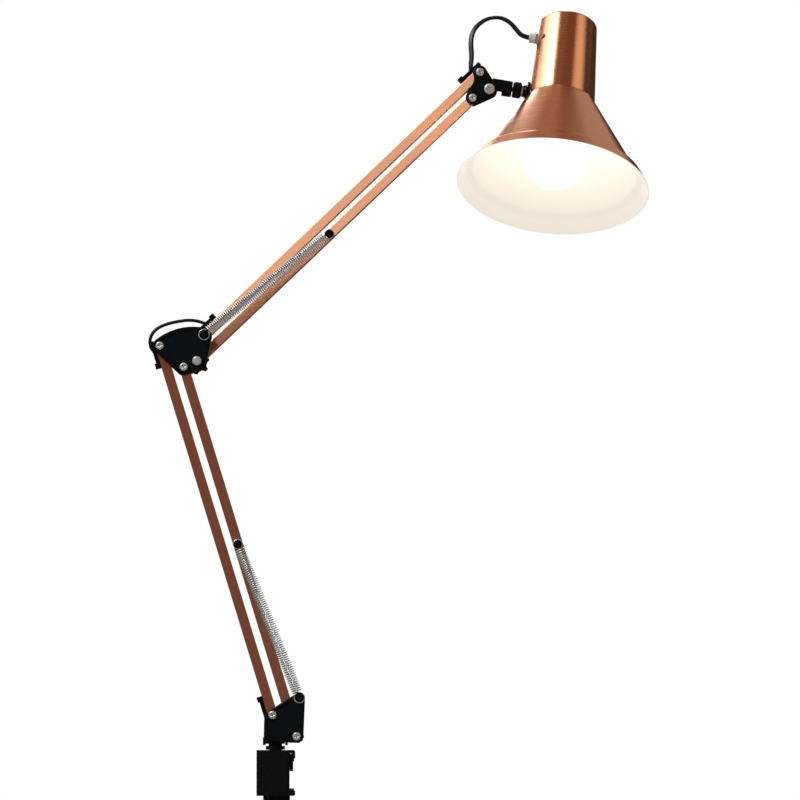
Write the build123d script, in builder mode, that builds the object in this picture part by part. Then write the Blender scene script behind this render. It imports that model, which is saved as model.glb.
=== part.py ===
import os
from math import atan2, cos, pi, radians, sin, sqrt, tan

from build123d import *

os.makedirs("parts", exist_ok=True)

# Driving dimensions, in millimetres and degrees.
# The arms lie in one upright plane through the swivel axis. The origin is the middle
# of the clamp's seat on the table top, +X points along the arm plane to the shade's side,
# +Z is up and the near side of the lamp is -Y.

# Pose of the arms at rest
LOWER_LEAN = 17.1
UPPER_RISE = 43.8
KNUCKLE_DROP = 9.0
SHADE_TURN = 23.5

# Arm lengths between pivots
LOWER_ARM = 354.0
UPPER_ARM = 351.0

# Pivots of the base bracket, from the swivel axis and the seat
PIVOT_SETBACK = 2.5
PIVOT_HEIGHT = 40.0
LOWER_LINK_RUN = 22.1
LOWER_LINK_DROP = 19.5
BASE_PEG_RUN = 2.6
BASE_PEG_RISE = 35.3

# Pivots of the elbow and of the head bracket
ELBOW_RUN = 34.2
ELBOW_DROP = 14.0
UPPER_LINK_RUN = 6.7
UPPER_LINK_RISE = 23.8
TILT_RUN = 15.4
TILT_RISE = 8.0

# Channel section of the four arm bars
BAR_WIDTH = 9.0
BAR_DEPTH = 9.0
BAR_WALL = 0.9
BAR_CORNER = 0.8
NOTCH_START = 7.0
NOTCH_END = 24.4
NOTCH_LEDGE = 0.7

# Bracket plates
PLATE_THICK = 3.2
PLATE_CLEARANCE = 0.4
PLATE_EDGE = 0.8
PANEL_BORDER = 3.2
PANEL_DEPTH = 0.7
SCREW_BOSS = 5.2
BASE_LOBE = 5.0
BASE_HEEL_RUN = 4.2
BASE_HEEL_DROP = 3.5
BASE_HEEL_LOBE = 3.4
BASE_TOE_LOBE = 6.0
BASE_PEG_LOBE = 4.8
BASE_LEG_WIDTH = 2.1
BASE_LEG_HEIGHT = 3.0
BASE_LEG_SPREAD = 10.2
ELBOW_LOBE = 6.6
ELBOW_INNER_LOBE = 7.6
ELBOW_BOLT_LOBE = 8.8
ELBOW_BULGE = 4.8
HEAD_OUTER_LOBE = 6.2
HEAD_INNER_LOBE = 6.4
HEAD_TILT_LOBE = 7.4
HEAD_WAIST = 3.4
HEAD_WAIST_RADIUS = 11.0
HEAD_WAIST_PLACE = 0.4

# Pivot hardware
BUSH_RADIUS = 3.5
RUNNING_FIT = 0.05
THREAD_FIT = 0.05
HOLE_CLEARANCE = 0.1
SCREW_RADIUS = 2.0
HEAD_RADIUS = 3.7
HEAD_HEIGHT = 2.4
HEAD_SINK = 1.0
HEAD_DOME = 0.6
SINK_CLEARANCE = 0.35
BOLT_RADIUS = 2.5
BOLT_HEAD_RADIUS = 4.2
BOLT_HEAD_HEIGHT = 2.6
TILT_HEAD_RADIUS = 4.9
TILT_HEAD_HEIGHT = 3.0
NUT_RADIUS = 4.0
NUT_HEIGHT = 3.2
TILT_NUT_RADIUS = 4.6
TILT_NUT_HEIGHT = 4.0
SCREW_TIP = 0.8
KNOB_TIP = 10.8
KNOB_LOBES = 6
KNOB_SCALLOP = 4.6
KNOB_SCALLOP_REACH = 12.6
KNOB_REST = 50.0
THUMB_TIP = 6.3
THUMB_RIBS = 10
THUMB_SCALLOP = 1.3
THUMB_SCALLOP_REACH = 7.1
KNOB_HEIGHT = 7.0
KNOB_HUB = 5.2
KNOB_GAP = 0.3
KNOB_EDGE = 0.5
KNOB_THREAD = 0.8

# Balance springs and what they hook on
SPRING_OFFSET = 12.0
SPRING_RADIUS = 4.4
SPRING_WIRE = 1.1
SPRING_TURNS = 48
RING_RADIUS = 4.7
HOOK_RADIUS = 4.2
HOOK_OPENING = 60.0
COIL_LEAD = 4.6
SPRING_SAMPLES = (0.0, 0.25, 0.5, 0.75)
SPRING_SELF_SHARE = 0.6
SPRING_WINDOW = 60
PEG_RADIUS = 3.7
PEG_LENGTH = 6.6
PEG_CORE = 4.0
STUD_RADIUS = 3.0
STUD_CAP_RADIUS = 3.8
STUD_CAP = 1.8
STUD_CAP_GAP = 0.3
STUD_CAP_EDGE = 0.5
STUD_RIVET = 1.2
STUD_RIVET_RADIUS = 3.2
LOWER_STUD_PLACE = 183.5
UPPER_STUD_PLACE = 168.3

# Cable clips on the outer bars, and the flat twin flex
CLIP_PAST = 6.0
CLIP_LENGTH = 19.5
CLIP_HEIGHT = 3.6
CLIP_WEB = 1.2
CLIP_BRIDGE = 8.0
CLIP_HOOK = 3.0
CLIP_TONGUE = 1.6
CLIP_TONGUE_LENGTH = 2.4
CLIP_BEAD = 1.5
CLIP_BEAD_LENGTH = 5.0
FLEX_WIDTH = 5.0
FLEX_THICK = 3.0
FLEX_SEAT_GAP = 0.15
FLEX_SLOT_CLEARANCE = 0.2
FLEX_HANDOVER = 30.0
FLEX_BEND_SHARE = 0.45

# Swivel spigot between the base plates and the clamp
SPIGOT_RADIUS = 6.0
SPIGOT_LENGTH = 34.0
SPIGOT_COLLAR_RADIUS = 8.8
SPIGOT_COLLAR = 3.4
SPIGOT_COLLAR_GAP = 0.4
SPIGOT_NECK_RADIUS = 6.2
SPIGOT_TIP = 1.0
TONGUE_FRONT = 8.5
TONGUE_BACK = 9.6
TONGUE_TOP = 29.0
TONGUE_FOOT = 13.6
TONGUE_CORNER = 2.0
SPIGOT_PIN_RUN = 6.3
SPIGOT_PIN_HEIGHT = 19.6
SPIGOT_PIN_RADIUS = 1.5
SPIGOT_PIN_LOBE = 4.2
SPIGOT_PIN_SINK = 0.4

# Table clamp
CLAMP_WIDTH = 34.0
SPINE_DEPTH = 22.0
SEAT_LENGTH = 51.0
UPPER_JAW = 8.0
JAW_OPENING = 29.5
LOWER_JAW = 4.2
JAW_TIP_TAPER = 2.0
CLAMP_CORNER = 2.5
RELIEF = 4.2
RELIEF_FOOT = 2.0
BORE_CLEARANCE = 1.5
SCREW_BACK = 37.0
BOSS_RADIUS = 9.0
BOSS_HEIGHT = 2.0
CLAMP_SCREW_RADIUS = 4.0
PAD_RADIUS = 10.0
PAD_THICK = 4.0
PAD_LIP = 0.8
PAD_SOCKET = 2.0
REST_GAP = 4.6
CLAMP_KNOB_RADIUS = 10.0
CLAMP_KNOB_LOBE = 2.4
CLAMP_KNOB_HEIGHT = 6.5
CLAMP_KNOB_GAP = 0.6
KNOB_FLOOR = 1.0
LOCK_RADIUS = 2.5
LOCK_DROP = 3.0
LOCK_KNOB_RADIUS = 8.3
LOCK_KNOB_THICK = 3.0
LOCK_KNOB_GAP = 0.4
LOCK_TIP_GAP = 0.3
LOCK_GRIPS = 18
LOCK_GRIP_RADIUS = 0.7

# Knuckle and stem between the head bracket and the shade
EYE_RADIUS = 7.0
EYE_CLEARANCE = 0.3
STEM_RISE = 4.0
STEM_HEIGHT = 4.3
NECK_START = 1.5
NECK_FOOT = 3.4
NECK_TOP = 6.8
COLLAR_START = 11.5
COLLAR_LENGTH = 9.2
COLLAR_RADIUS = 7.5
COLLAR_EDGE = 1.0
COLLAR_GAP = 0.5
STEM_COLLAR_LENGTH = 8.0
WASHER_THICK = 1.6
WASHER_RADIUS = 5.4
FOOT_NECK_RADIUS = 5.4
FOOT_RADIUS = 9.4
FOOT_EDGE = 1.0
FOOT_OVERRUN = 3.0
WALL_REACH = 35.2
SWIVEL_BOLT_HEAD_RADIUS = 4.4
SWIVEL_BOLT_HEAD = 3.0
SWIVEL_BOLT_GRIP = 7.0

# Shade, heights along its axis from where the stem's axis meets it
CAP_TOP = 82.0
CAP_TOP_RADIUS = 27.3
CAP_FOOT = -2.1
CAP_FOOT_RADIUS = 31.6
CAP_ROUND = 3.0
CONE_FOOT = -76.0
CONE_FOOT_RADIUS = 75.4
SHOULDER_DROP = 4.2
SHOULDER_RADIUS = 81.4
RIM = -91.4
RIM_RADIUS = 88.0
CREASE_ROUND = 5.0
SHADE_WALL = 0.9

# Lamp holder, bulb and what holds them in the cap
HOLDER_RADIUS = 19.0
HOLDER_FOOT = -9.0
HOLDER_TOP = 46.0
HOLDER_ROUND = 6.0
HOLDER_BORE_TOP = 24.0
SHELL_WALL = 0.5
SHELL_GAP = 0.1
SHELL_FOOT = -6.0
CONTACT_RADIUS = 4.5
CONTACT_THICK = 1.2
CONTACT_STEM = 2.0
NIPPLE_RADIUS = 5.0
NIPPLE_BORE = 3.5
NIPPLE_LENGTH = 8.0
NIPPLE_NUT_RADIUS = 8.0
NIPPLE_NUT_HEIGHT = 3.5
BRACKET_WIDTH = 14.0
BRACKET_THICK = 1.5
BRACKET_FOOT = 8.0
BRACKET_GAP = 0.15
BRACKET_REACH = 9.0
BULB_RADIUS = 30.0
BULB_CENTRE = -60.0
BULB_WALL = 0.9
BULB_SHOULDER = 38.0
BULB_NECK_RADIUS = 13.0
BULB_NECK = -12.0
BULB_CAP_RADIUS = 13.2
BULB_CAP_WALL = 0.6
BULB_CAP_TOP = 16.0
BULB_CAP_TAPER = 3.0
BULB_CAP_END_RADIUS = 8.0
BULB_TIP_RADIUS = 5.0
BULB_TIP = 2.0

# Cable gland on the cap, and the grip screw beside it
GLAND_HEIGHT = 64.0
GLAND_RADIUS = 4.6
GLAND_LENGTH = 6.5
GLAND_LIP_RADIUS = 5.6
GLAND_LIP = 1.4
GLAND_LIP_GAP = 0.35
GLAND_INSIDE = 4.0
GRIP_SCREW_HEIGHT = 57.0
GRIP_SCREW_AROUND = 38.0
GRIP_SCREW_RADIUS = 1.2
GRIP_SCREW_HEAD = 2.2
GRIP_SCREW_HEAD_HEIGHT = 1.2
GRIP_SCREW_LENGTH = 6.0

# Flex out of and into the bars: distance from the pivot along the bar, and outward from its middle
FLEX_FROM_LOWER = [(20.0, -1.95), (12.0, 1.6), (5.0, 6.6), (-3.5, 9.2)]
FLEX_INTO_UPPER = [(8.4, 6.4), (12.6, 1.4), (20.0, -1.95)]
FLEX_FROM_UPPER = [(20.0, -1.95), (12.5, 0.6), (6.5, 5.0), (1.0, 11.0)]

# Flex round the elbow, from the lower arm's outer pivot: across and up
ELBOW_LOOP = [(-8.6, 10.2), (-2.4, 17.0), (7.0, 20.8), (17.0, 23.0), (27.0, 24.2), (36.1, 22.9)]

# Flex from the head bracket to the shade, from the upper arm's outer pivot: across, up and behind
HEAD_LOOP = [
    (-7.3, 17.3, 1.0),
    (-8.5, 29.0, 3.2),
    (-6.3, 39.8, 6.0),
    (-0.2, 47.6, 9.5),
    (9.0, 53.3, 13.0),
    (20.0, 54.2, 16.8),
    (28.5, 50.0, 20.0),
    (34.0, 43.8, 22.5),
]
GLAND_RUN = 6.0
FLEX_TUCK = 4.0

# Layers of a bracket, measured from the arm plane towards the near side
plate_inner = BAR_DEPTH / 2 + PLATE_CLEARANCE
plate_outer = plate_inner + PLATE_THICK
head_seat = plate_outer - HEAD_SINK
nut_face = -plate_outer
knob_front = nut_face - NUT_HEIGHT - SCREW_TIP - KNOB_GAP
flex_seat = -BAR_WIDTH / 2 + BAR_WALL + FLEX_SEAT_GAP + FLEX_THICK / 2
swivel_setback = SPINE_DEPTH / 2 + SEAT_LENGTH / 2


def arm_plane(towards=0.0):
    """The arms' upright plane, moved towards the near side; its x is X and its y is Z."""
    return Plane.XZ.offset(swivel_setback + towards)


def spot(point, towards=0.0):
    """A point of the arm plane as a point in space."""
    return arm_plane(towards).from_local_coords(Vector(point.X, point.Y, 0))


def heading(way):
    """A direction of the arm plane as a direction in space."""
    return Vector(way.X, 0, way.Y)


def outward(way):
    """The direction across a bar, towards the outside of the arm."""
    return Vector(-way.Y, way.X)


# Pivots, as points of the arm plane
lower_way = Vector(-sin(radians(LOWER_LEAN)), cos(radians(LOWER_LEAN)))
upper_way = Vector(cos(radians(UPPER_RISE)), sin(radians(UPPER_RISE)))
base_outer = Vector(-PIVOT_SETBACK, PIVOT_HEIGHT)
base_inner = base_outer + Vector(LOWER_LINK_RUN, -LOWER_LINK_DROP)
base_peg = base_inner + Vector(BASE_PEG_RUN, BASE_PEG_RISE)
elbow_outer = base_outer + lower_way * LOWER_ARM
elbow_inner = base_inner + lower_way * LOWER_ARM
elbow_bolt_at = elbow_outer + Vector(ELBOW_RUN, -ELBOW_DROP)
elbow_peg = elbow_bolt_at + Vector(UPPER_LINK_RUN, UPPER_LINK_RISE)
head_outer = elbow_peg + upper_way * UPPER_ARM
head_inner = elbow_bolt_at + upper_way * UPPER_ARM
tilt_at = head_inner + Vector(TILT_RUN, TILT_RISE)
spigot_pin_at = Vector(-SPIGOT_PIN_RUN, SPIGOT_PIN_HEIGHT)
lower_stud_at = base_inner + lower_way * LOWER_STUD_PLACE
upper_stud_at = elbow_bolt_at + upper_way * UPPER_STUD_PLACE

# Knuckle axis and shade axis, in space
drop = radians(KNUCKLE_DROP)
knuckle_way = Vector(cos(drop), 0, -sin(drop))
tilt_centre = spot(tilt_at)
cap_taper = atan2(CAP_FOOT_RADIUS - CAP_TOP_RADIUS, CAP_TOP - CAP_FOOT)
stem_radius = (CAP_FOOT_RADIUS + (CAP_FOOT - STEM_HEIGHT) * tan(cap_taper)) * cos(cap_taper)
knuckle_rise = Vector(sin(drop), 0, cos(drop))
stem_centre = tilt_centre + knuckle_rise * STEM_RISE
knuckle_up = knuckle_rise.rotate(Axis((0, 0, 0), knuckle_way), -SHADE_TURN)
shade_way = knuckle_up * cos(cap_taper) - knuckle_way * sin(cap_taper)
shade_right = knuckle_way * cos(cap_taper) + knuckle_up * sin(cap_taper)
shade_centre = stem_centre + knuckle_way * (WALL_REACH + stem_radius) - shade_way * STEM_HEIGHT
shade_axis = Axis(shade_centre, shade_way)
shade_profile = Plane(shade_centre, x_dir=shade_right, z_dir=shade_right.cross(shade_way))
knuckle_axis = Axis(stem_centre, knuckle_way)
knuckle_profile = Plane(stem_centre, x_dir=knuckle_way, z_dir=(0, -1, 0))


def knuckle_section(distance):
    """The plane square to the knuckle axis, at a distance from the tilt screw."""
    return Plane(stem_centre + knuckle_way * distance, x_dir=(0, 1, 0), z_dir=knuckle_way)


def shade_section(height):
    """The plane square to the shade's axis, at a height along it."""
    return Plane(shade_centre + shade_way * height, x_dir=shade_right, z_dir=shade_way)


def bar_plane(start, way):
    """The arm plane seen along a bar: x runs along it and y to its outer side."""
    return Plane(spot(start), x_dir=heading(way), z_dir=(0, -1, 0))


def save(part, name):
    """Labels a finished piece and writes it as one file."""
    part.label = name
    export_step(part, f"parts/{name}.step")


def group(shapes):
    """Circles of one sketch, each given as a centre and a radius."""
    for centre, radius in shapes:
        with Locations(centre):
            Circle(radius)


# Outlines of the three brackets
def hull_outline(lobes):
    with BuildSketch() as outline:
        group(lobes)
        make_hull()
    return outline.sketch


heel_at = base_outer - Vector(BASE_HEEL_RUN, BASE_HEEL_DROP)
base_outline = hull_outline(
    [
        (base_outer, BASE_LOBE),
        (heel_at, BASE_HEEL_LOBE),
        (spigot_pin_at, SPIGOT_PIN_LOBE),
        (base_inner, BASE_TOE_LOBE),
        (base_peg, BASE_PEG_LOBE),
    ]
)
leg_top = spigot_pin_at.Y
leg_foot = spigot_pin_at.Y - SPIGOT_PIN_LOBE - BASE_LEG_HEIGHT
with BuildSketch() as legs:
    for leg_x in (-BASE_LEG_SPREAD, BASE_LEG_SPREAD):
        with Locations((leg_x, (leg_top + leg_foot) / 2)):
            Rectangle(BASE_LEG_WIDTH, leg_top - leg_foot)
base_legs = legs.sketch

crown_way = (elbow_peg - elbow_outer).normalized()
crown_top = (elbow_outer + elbow_peg) * 0.5 + outward(crown_way) * ELBOW_BULGE
crown = ThreePointArc(elbow_outer, crown_top, elbow_peg)
with BuildSketch() as fan:
    add(
        hull_outline(
            [
                (elbow_outer, ELBOW_LOBE),
                (elbow_inner, ELBOW_INNER_LOBE),
                (elbow_bolt_at, ELBOW_BOLT_LOBE),
                (elbow_peg, ELBOW_LOBE),
            ]
        )
    )
    SlotArc(crown, 2 * ELBOW_LOBE)
elbow_outline = fan.sketch

head_link = head_inner - head_outer
waist_at = head_outer + head_link * HEAD_WAIST_PLACE
bite_at = waist_at - outward(head_link.normalized()) * (HEAD_WAIST + HEAD_WAIST_RADIUS)
with BuildSketch() as waisted:
    add(
        hull_outline(
            [
                (head_outer, HEAD_OUTER_LOBE),
                (head_inner, HEAD_INNER_LOBE),
                (tilt_at, HEAD_TILT_LOBE),
            ]
        )
    )
    with Locations(bite_at):
        Circle(HEAD_WAIST_RADIUS, mode=Mode.SUBTRACT)
head_outline = waisted.sketch


def plate(outline, side, holes, sunk=(), pegs=(), cored=(), feet=None):
    """A bracket plate: chamfered rim, sunk panel, bored holes, seats for sunk heads, spring pegs."""
    inner = plate_inner if side > 0 else -plate_outer
    bosses = [centre for centre, _ in holes] + list(pegs)
    with BuildPart() as body:
        with BuildSketch(arm_plane(inner)):
            add(outline)
        extrude(amount=PLATE_THICK)
        rim = body.faces().sort_by(Axis.Y)[0 if side > 0 else -1]
        chamfer(rim.edges(), PLATE_EDGE)
        if feet:
            with BuildSketch(arm_plane(side * plate_inner)):
                add(feet)
            extrude(amount=side * (PLATE_THICK - PLATE_EDGE))
        with BuildSketch(arm_plane(side * plate_outer)):
            add(outline)
            offset(amount=-PANEL_BORDER, kind=Kind.INTERSECTION, mode=Mode.REPLACE)
            with Locations(*bosses):
                Circle(SCREW_BOSS, mode=Mode.SUBTRACT)
        extrude(amount=-side * PANEL_DEPTH, mode=Mode.SUBTRACT)
        if pegs:
            with BuildSketch(arm_plane(plate_outer)):
                with Locations(*pegs):
                    Circle(PEG_RADIUS)
            extrude(amount=PEG_LENGTH)
            chamfer(body.faces().sort_by(Axis.Y)[0].edges(), PLATE_EDGE)
        with BuildSketch(arm_plane(inner)):
            group(holes)
        extrude(amount=PLATE_THICK, mode=Mode.SUBTRACT)
        if sunk:
            with BuildSketch(arm_plane(head_seat)):
                with Locations(*sunk):
                    Circle(HEAD_RADIUS + SINK_CLEARANCE)
            extrude(amount=HEAD_SINK, mode=Mode.SUBTRACT)
        if cored:
            with BuildSketch(arm_plane(inner)):
                with Locations(*cored):
                    Circle(SCREW_RADIUS + THREAD_FIT)
            extrude(amount=PLATE_THICK + PEG_CORE, mode=Mode.SUBTRACT)
    return body.part


def bushes(places):
    """Spacer tubes between the two plates of a bracket, each with its own bore."""
    with BuildPart() as tubes:
        with BuildSketch(arm_plane(-plate_inner)):
            group([(centre, BUSH_RADIUS) for centre, _ in places])
            for centre, bore in places:
                with Locations(centre):
                    Circle(bore + HOLE_CLEARANCE, mode=Mode.SUBTRACT)
        extrude(amount=2 * plate_inner)
    return tubes.part


def near_screws(points, radius, head_radius, head_height, seat, far_end):
    """Domed screws put in from the near side, from their seat to their far end."""
    with BuildPart() as screws:
        with BuildSketch(arm_plane(far_end)):
            with Locations(*points):
                Circle(radius)
        extrude(amount=seat - far_end)
        with BuildSketch(arm_plane(seat)):
            with Locations(*points):
                Circle(head_radius)
        extrude(amount=head_height)
        crown_edges = screws.faces().group_by(Axis.Y)[0].edges()
        fillet(crown_edges, head_height * HEAD_DOME)
    return screws.part


def far_nuts(points, across, height, screw_radius):
    """Hexagon nuts against the far plate."""
    with BuildPart() as nuts:
        with BuildSketch(arm_plane(nut_face)):
            with Locations(*points):
                RegularPolygon(across, 6)
                Circle(screw_radius + THREAD_FIT, mode=Mode.SUBTRACT)
        extrude(amount=-height)
    return nuts.part


def star_knob(centre, bore, tip, lobes, scallop, scallop_reach):
    """A scalloped grip behind the far plate, turning on the end of a bolt."""
    face = nut_face - KNOB_GAP
    with BuildPart() as knob:
        with BuildSketch(arm_plane(knob_front)):
            with Locations(centre):
                Circle(tip)
        extrude(amount=-KNOB_HEIGHT)
        for rim in (0, -1):
            chamfer(knob.faces().sort_by(Axis.Y)[rim].edges(), KNOB_EDGE)
        with BuildSketch(arm_plane(knob_front)):
            with Locations(centre):
                with PolarLocations(scallop_reach, lobes, start_angle=KNOB_REST):
                    Circle(scallop)
        extrude(amount=-KNOB_HEIGHT, mode=Mode.SUBTRACT)
        with BuildSketch(arm_plane(face)):
            with Locations(centre):
                Circle(KNOB_HUB)
        extrude(amount=knob_front - face)
        with BuildSketch(arm_plane(face)):
            with Locations(centre):
                Circle(bore + RUNNING_FIT)
        extrude(amount=knob_front - KNOB_HEIGHT - face, mode=Mode.SUBTRACT)
    return knob.part


def channel_bar(start, way, length, stud_place=None, notched=False):
    """A thin U-channel with round ends, bored for its two pivots and for a spring stud."""
    plane = bar_plane(start, way)
    inside = BAR_DEPTH / 2 - BAR_WALL
    with BuildPart() as bar:
        with BuildSketch(plane):
            with Locations((length / 2, 0)):
                SlotCenterToCenter(length, BAR_WIDTH)
        extrude(amount=BAR_DEPTH / 2, both=True)
        web = bar.faces().sort_by(Axis(spot(start), heading(outward(way))))[0]
        fillet(web.edges().filter_by(Axis(spot(start), heading(way))), BAR_CORNER)
        with BuildSketch(plane):
            with Locations((length / 2, BAR_WALL)):
                Rectangle(length + 2 * BAR_WIDTH, BAR_WIDTH)
        extrude(amount=inside, both=True, mode=Mode.SUBTRACT)
        with BuildSketch(plane):
            with Locations((0, 0), (length, 0)):
                Circle(BUSH_RADIUS + RUNNING_FIT)
        extrude(amount=BAR_DEPTH, both=True, mode=Mode.SUBTRACT)
        if notched:
            with BuildSketch(plane.offset(inside)):
                with Locations((NOTCH_START, -BAR_WIDTH / 2 + BAR_WALL + NOTCH_LEDGE)):
                    Rectangle(NOTCH_END - NOTCH_START, BAR_WIDTH, align=(Align.MIN, Align.MIN))
            extrude(amount=BAR_DEPTH, mode=Mode.SUBTRACT)
        if stud_place:
            with BuildSketch(plane.offset(inside)):
                with Locations((stud_place, 0)):
                    Circle(STUD_RADIUS + HOLE_CLEARANCE)
            extrude(amount=BAR_DEPTH, mode=Mode.SUBTRACT)
    return bar.part


def spring_stud(centre):
    """A capped stud riveted in the near wall of an inner bar."""
    wall = BAR_DEPTH / 2
    cap_face = SPRING_OFFSET + SPRING_WIRE / 2 + STUD_CAP_GAP
    with BuildPart() as stud:
        with BuildSketch(arm_plane(wall - BAR_WALL - STUD_RIVET)):
            with Locations(centre):
                Circle(STUD_RIVET_RADIUS)
        extrude(amount=STUD_RIVET)
        with BuildSketch(arm_plane(wall - BAR_WALL)):
            with Locations(centre):
                Circle(STUD_RADIUS)
        extrude(amount=cap_face - wall + BAR_WALL)
        with BuildSketch(arm_plane(wall)):
            with Locations(centre):
                Circle(STUD_RIVET_RADIUS)
        extrude(amount=STUD_RIVET)
        with BuildSketch(arm_plane(cap_face)):
            with Locations(centre):
                Circle(STUD_CAP_RADIUS)
        extrude(amount=STUD_CAP)
        chamfer(stud.faces().sort_by(Axis.Y)[0].edges(), STUD_CAP_EDGE)
    return stud.part


def cable_clip(pivot, away, out):
    """A cover that snaps on the channel's lips beside a pivot and lets the flex in or out."""
    side = (0, -1, 0) if outward(away).dot(out) > 0 else (0, 1, 0)
    plane = Plane(spot(pivot), x_dir=heading(away), z_dir=side)
    lip = BAR_WIDTH / 2
    slot = FLEX_WIDTH / 2 + FLEX_SLOT_CLEARANCE
    bridge = CLIP_LENGTH - CLIP_BRIDGE
    hook = CLIP_LENGTH - CLIP_HOOK
    with BuildPart() as clip:
        with BuildSketch(plane):
            with Locations((-CLIP_PAST, lip)):
                Rectangle(CLIP_PAST + CLIP_LENGTH, CLIP_HEIGHT, align=(Align.MIN, Align.MIN))
            with Locations((CLIP_LENGTH, lip)):
                Rectangle(CLIP_BEAD_LENGTH, CLIP_HEIGHT + CLIP_BEAD, align=(Align.MAX, Align.MIN))
        extrude(amount=BAR_DEPTH / 2, both=True)
        with BuildSketch(plane):
            with Locations((-2 * CLIP_PAST, 0)):
                Rectangle(bridge + 2 * CLIP_PAST, 2 * BAR_WIDTH, align=(Align.MIN, Align.MIN))
            with Locations((0, 0)):
                Rectangle(hook, lip + CLIP_HEIGHT - CLIP_WEB, align=(Align.MIN, Align.MIN))
        extrude(amount=slot, both=True, mode=Mode.SUBTRACT)
        with BuildSketch(plane):
            with Locations((hook, lip - CLIP_TONGUE)):
                Rectangle(CLIP_TONGUE_LENGTH, CLIP_TONGUE, align=(Align.MIN, Align.MIN))
        extrude(amount=BAR_DEPTH / 2 - BAR_WALL - HOLE_CLEARANCE, both=True)
    return clip.part


def flex_run(start, way, length):
    """The straight part of the flex that lies on the web of an outer bar."""
    plane = bar_plane(start, way)
    with BuildPart() as run:
        with BuildSketch(
            Plane(
                plane.from_local_coords(Vector(FLEX_HANDOVER, flex_seat, 0)),
                x_dir=(0, 1, 0),
                z_dir=heading(way),
            )
        ):
            SlotOverall(FLEX_WIDTH, FLEX_THICK)
        extrude(amount=length - 2 * FLEX_HANDOVER)
    return run.part


def corner_radii(points):
    """Bend radii that use nearly half of the shorter run at each corner."""
    radii = []
    for before, corner, after in zip(points, points[1:], points[2:]):
        first = corner - before
        second = after - corner
        half_turn = radians(first.get_angle(second)) / 2
        radii.append(FLEX_BEND_SHARE * min(first.length, second.length) / tan(half_turn))
    return radii


def flex_loop(points, name):
    """A free length of flex: straight runs joined by tangent arcs."""
    radii = corner_radii(points)
    with BuildPart() as loop:
        with BuildLine() as route:
            FilletPolyline(*points, radius=radii)
        with BuildSketch(Plane(points[0], x_dir=(0, 1, 0), z_dir=points[1] - points[0])) as section:
            SlotOverall(FLEX_WIDTH, FLEX_THICK)
        sweep(path=route.wire())
    length = route.wire().length
    share = loop.part.volume / (section.sketch.area * length)
    print(f"{name} radii", [round(radius, 1) for radius in radii])
    print(f"{name} length {length:.1f}, volume against section by length {share:.4f}")
    return loop.part


def biarc(start, start_way, end, end_way):
    """Where two arcs meet that leave one point and reach another along given directions."""
    span = end - start
    both = start_way + end_way
    square = 2 * (1 - start_way.dot(end_way))
    linear = 2 * span.dot(both)
    reach = (sqrt(linear * linear + 4 * square * span.dot(span)) - linear) / (2 * square)
    return (start + start_way * reach + end - end_way * reach) * 0.5


def hook_end(centre, along, across, radius):
    """Points of a hook: free end, start of the ring, its far side, its end, and the way out."""
    def rim(angle):
        turn = radians(angle)
        return centre + along * (radius * cos(turn)) + across * (radius * sin(turn))

    def rim_way(angle):
        turn = radians(angle)
        return across * cos(turn) - along * sin(turn)

    tip = rim(HOOK_OPENING)
    free = tip - rim_way(HOOK_OPENING) * SPRING_WIRE
    return free, tip, rim(180), rim(360 - HOOK_OPENING), rim_way(360 - HOOK_OPENING)


def balance_spring(peg, stud, name):
    """A close-wound pull spring with a ring at its peg and a hook at its stud."""
    start = spot(peg, SPRING_OFFSET)
    finish = spot(stud, SPRING_OFFSET)
    along = (finish - start).normalized()
    near = Vector(0, -1, 0)
    across = near.cross(along)
    coil_start = RING_RADIUS + COIL_LEAD
    coil_end = (finish - start).length - HOOK_RADIUS - COIL_LEAD
    pitch = (coil_end - coil_start) / SPRING_TURNS

    def coil(turns):
        angle = 2 * pi * turns - pi / 2
        middle = start + along * (coil_start + pitch * turns)
        return middle + (across * cos(angle) + near * sin(angle)) * SPRING_RADIUS

    def coil_way(turns):
        angle = 2 * pi * turns - pi / 2
        round_way = near * cos(angle) - across * sin(angle)
        return (round_way * (2 * pi * SPRING_RADIUS) + along * pitch).normalized()

    free, tip, ring_far, ring_out, out_way = hook_end(start, along, across, RING_RADIUS)
    end_free, end_tip, hook_far, hook_in, back_way = hook_end(finish, -along, -across, HOOK_RADIUS)
    knots = [(ring_out, out_way)]
    knots += [(coil(half / 2), coil_way(half / 2)) for half in range(2 * SPRING_TURNS + 1)]
    knots += [(hook_in, -back_way)]
    with BuildPart() as spring:
        with BuildLine() as wire:
            pieces = [Line(free, tip), ThreePointArc(tip, ring_far, ring_out)]
            for (first, first_way), (last, last_way) in zip(knots, knots[1:]):
                meet = biarc(first, first_way, last, last_way)
                pieces.append(TangentArc(first, meet, tangent=first_way))
                pieces.append(TangentArc(meet, last, tangent=pieces[-1] % 1))
            pieces.append(ThreePointArc(hook_in, hook_far, end_tip))
            pieces.append(Line(end_tip, end_free))
        with BuildSketch(Plane(free, z_dir=tip - free)) as section:
            Circle(SPRING_WIRE / 2)
        sweep(path=wire.wire())
    length = sum(piece.length for piece in pieces)
    points = [piece @ share for piece in pieces for share in SPRING_SAMPLES]
    walked = [0.0]
    for first, second in zip(points, points[1:]):
        walked.append(walked[-1] + (second - first).length)
    apart = 2 * pi * HOOK_RADIUS * SPRING_SELF_SHARE
    gap = min(
        (points[i] - points[j]).length
        for i in range(len(points))
        for j in range(i + 1, min(i + SPRING_WINDOW, len(points)))
        if walked[j] - walked[i] > apart
    )
    share = spring.part.volume / (section.sketch.area * length)
    print(f"{name} least gap to itself {gap - SPRING_WIRE:.2f}, pitch {pitch:.2f}")
    print(f"{name} length {length:.1f}, volume against section by length {share:.4f}")
    return spring.part


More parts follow.
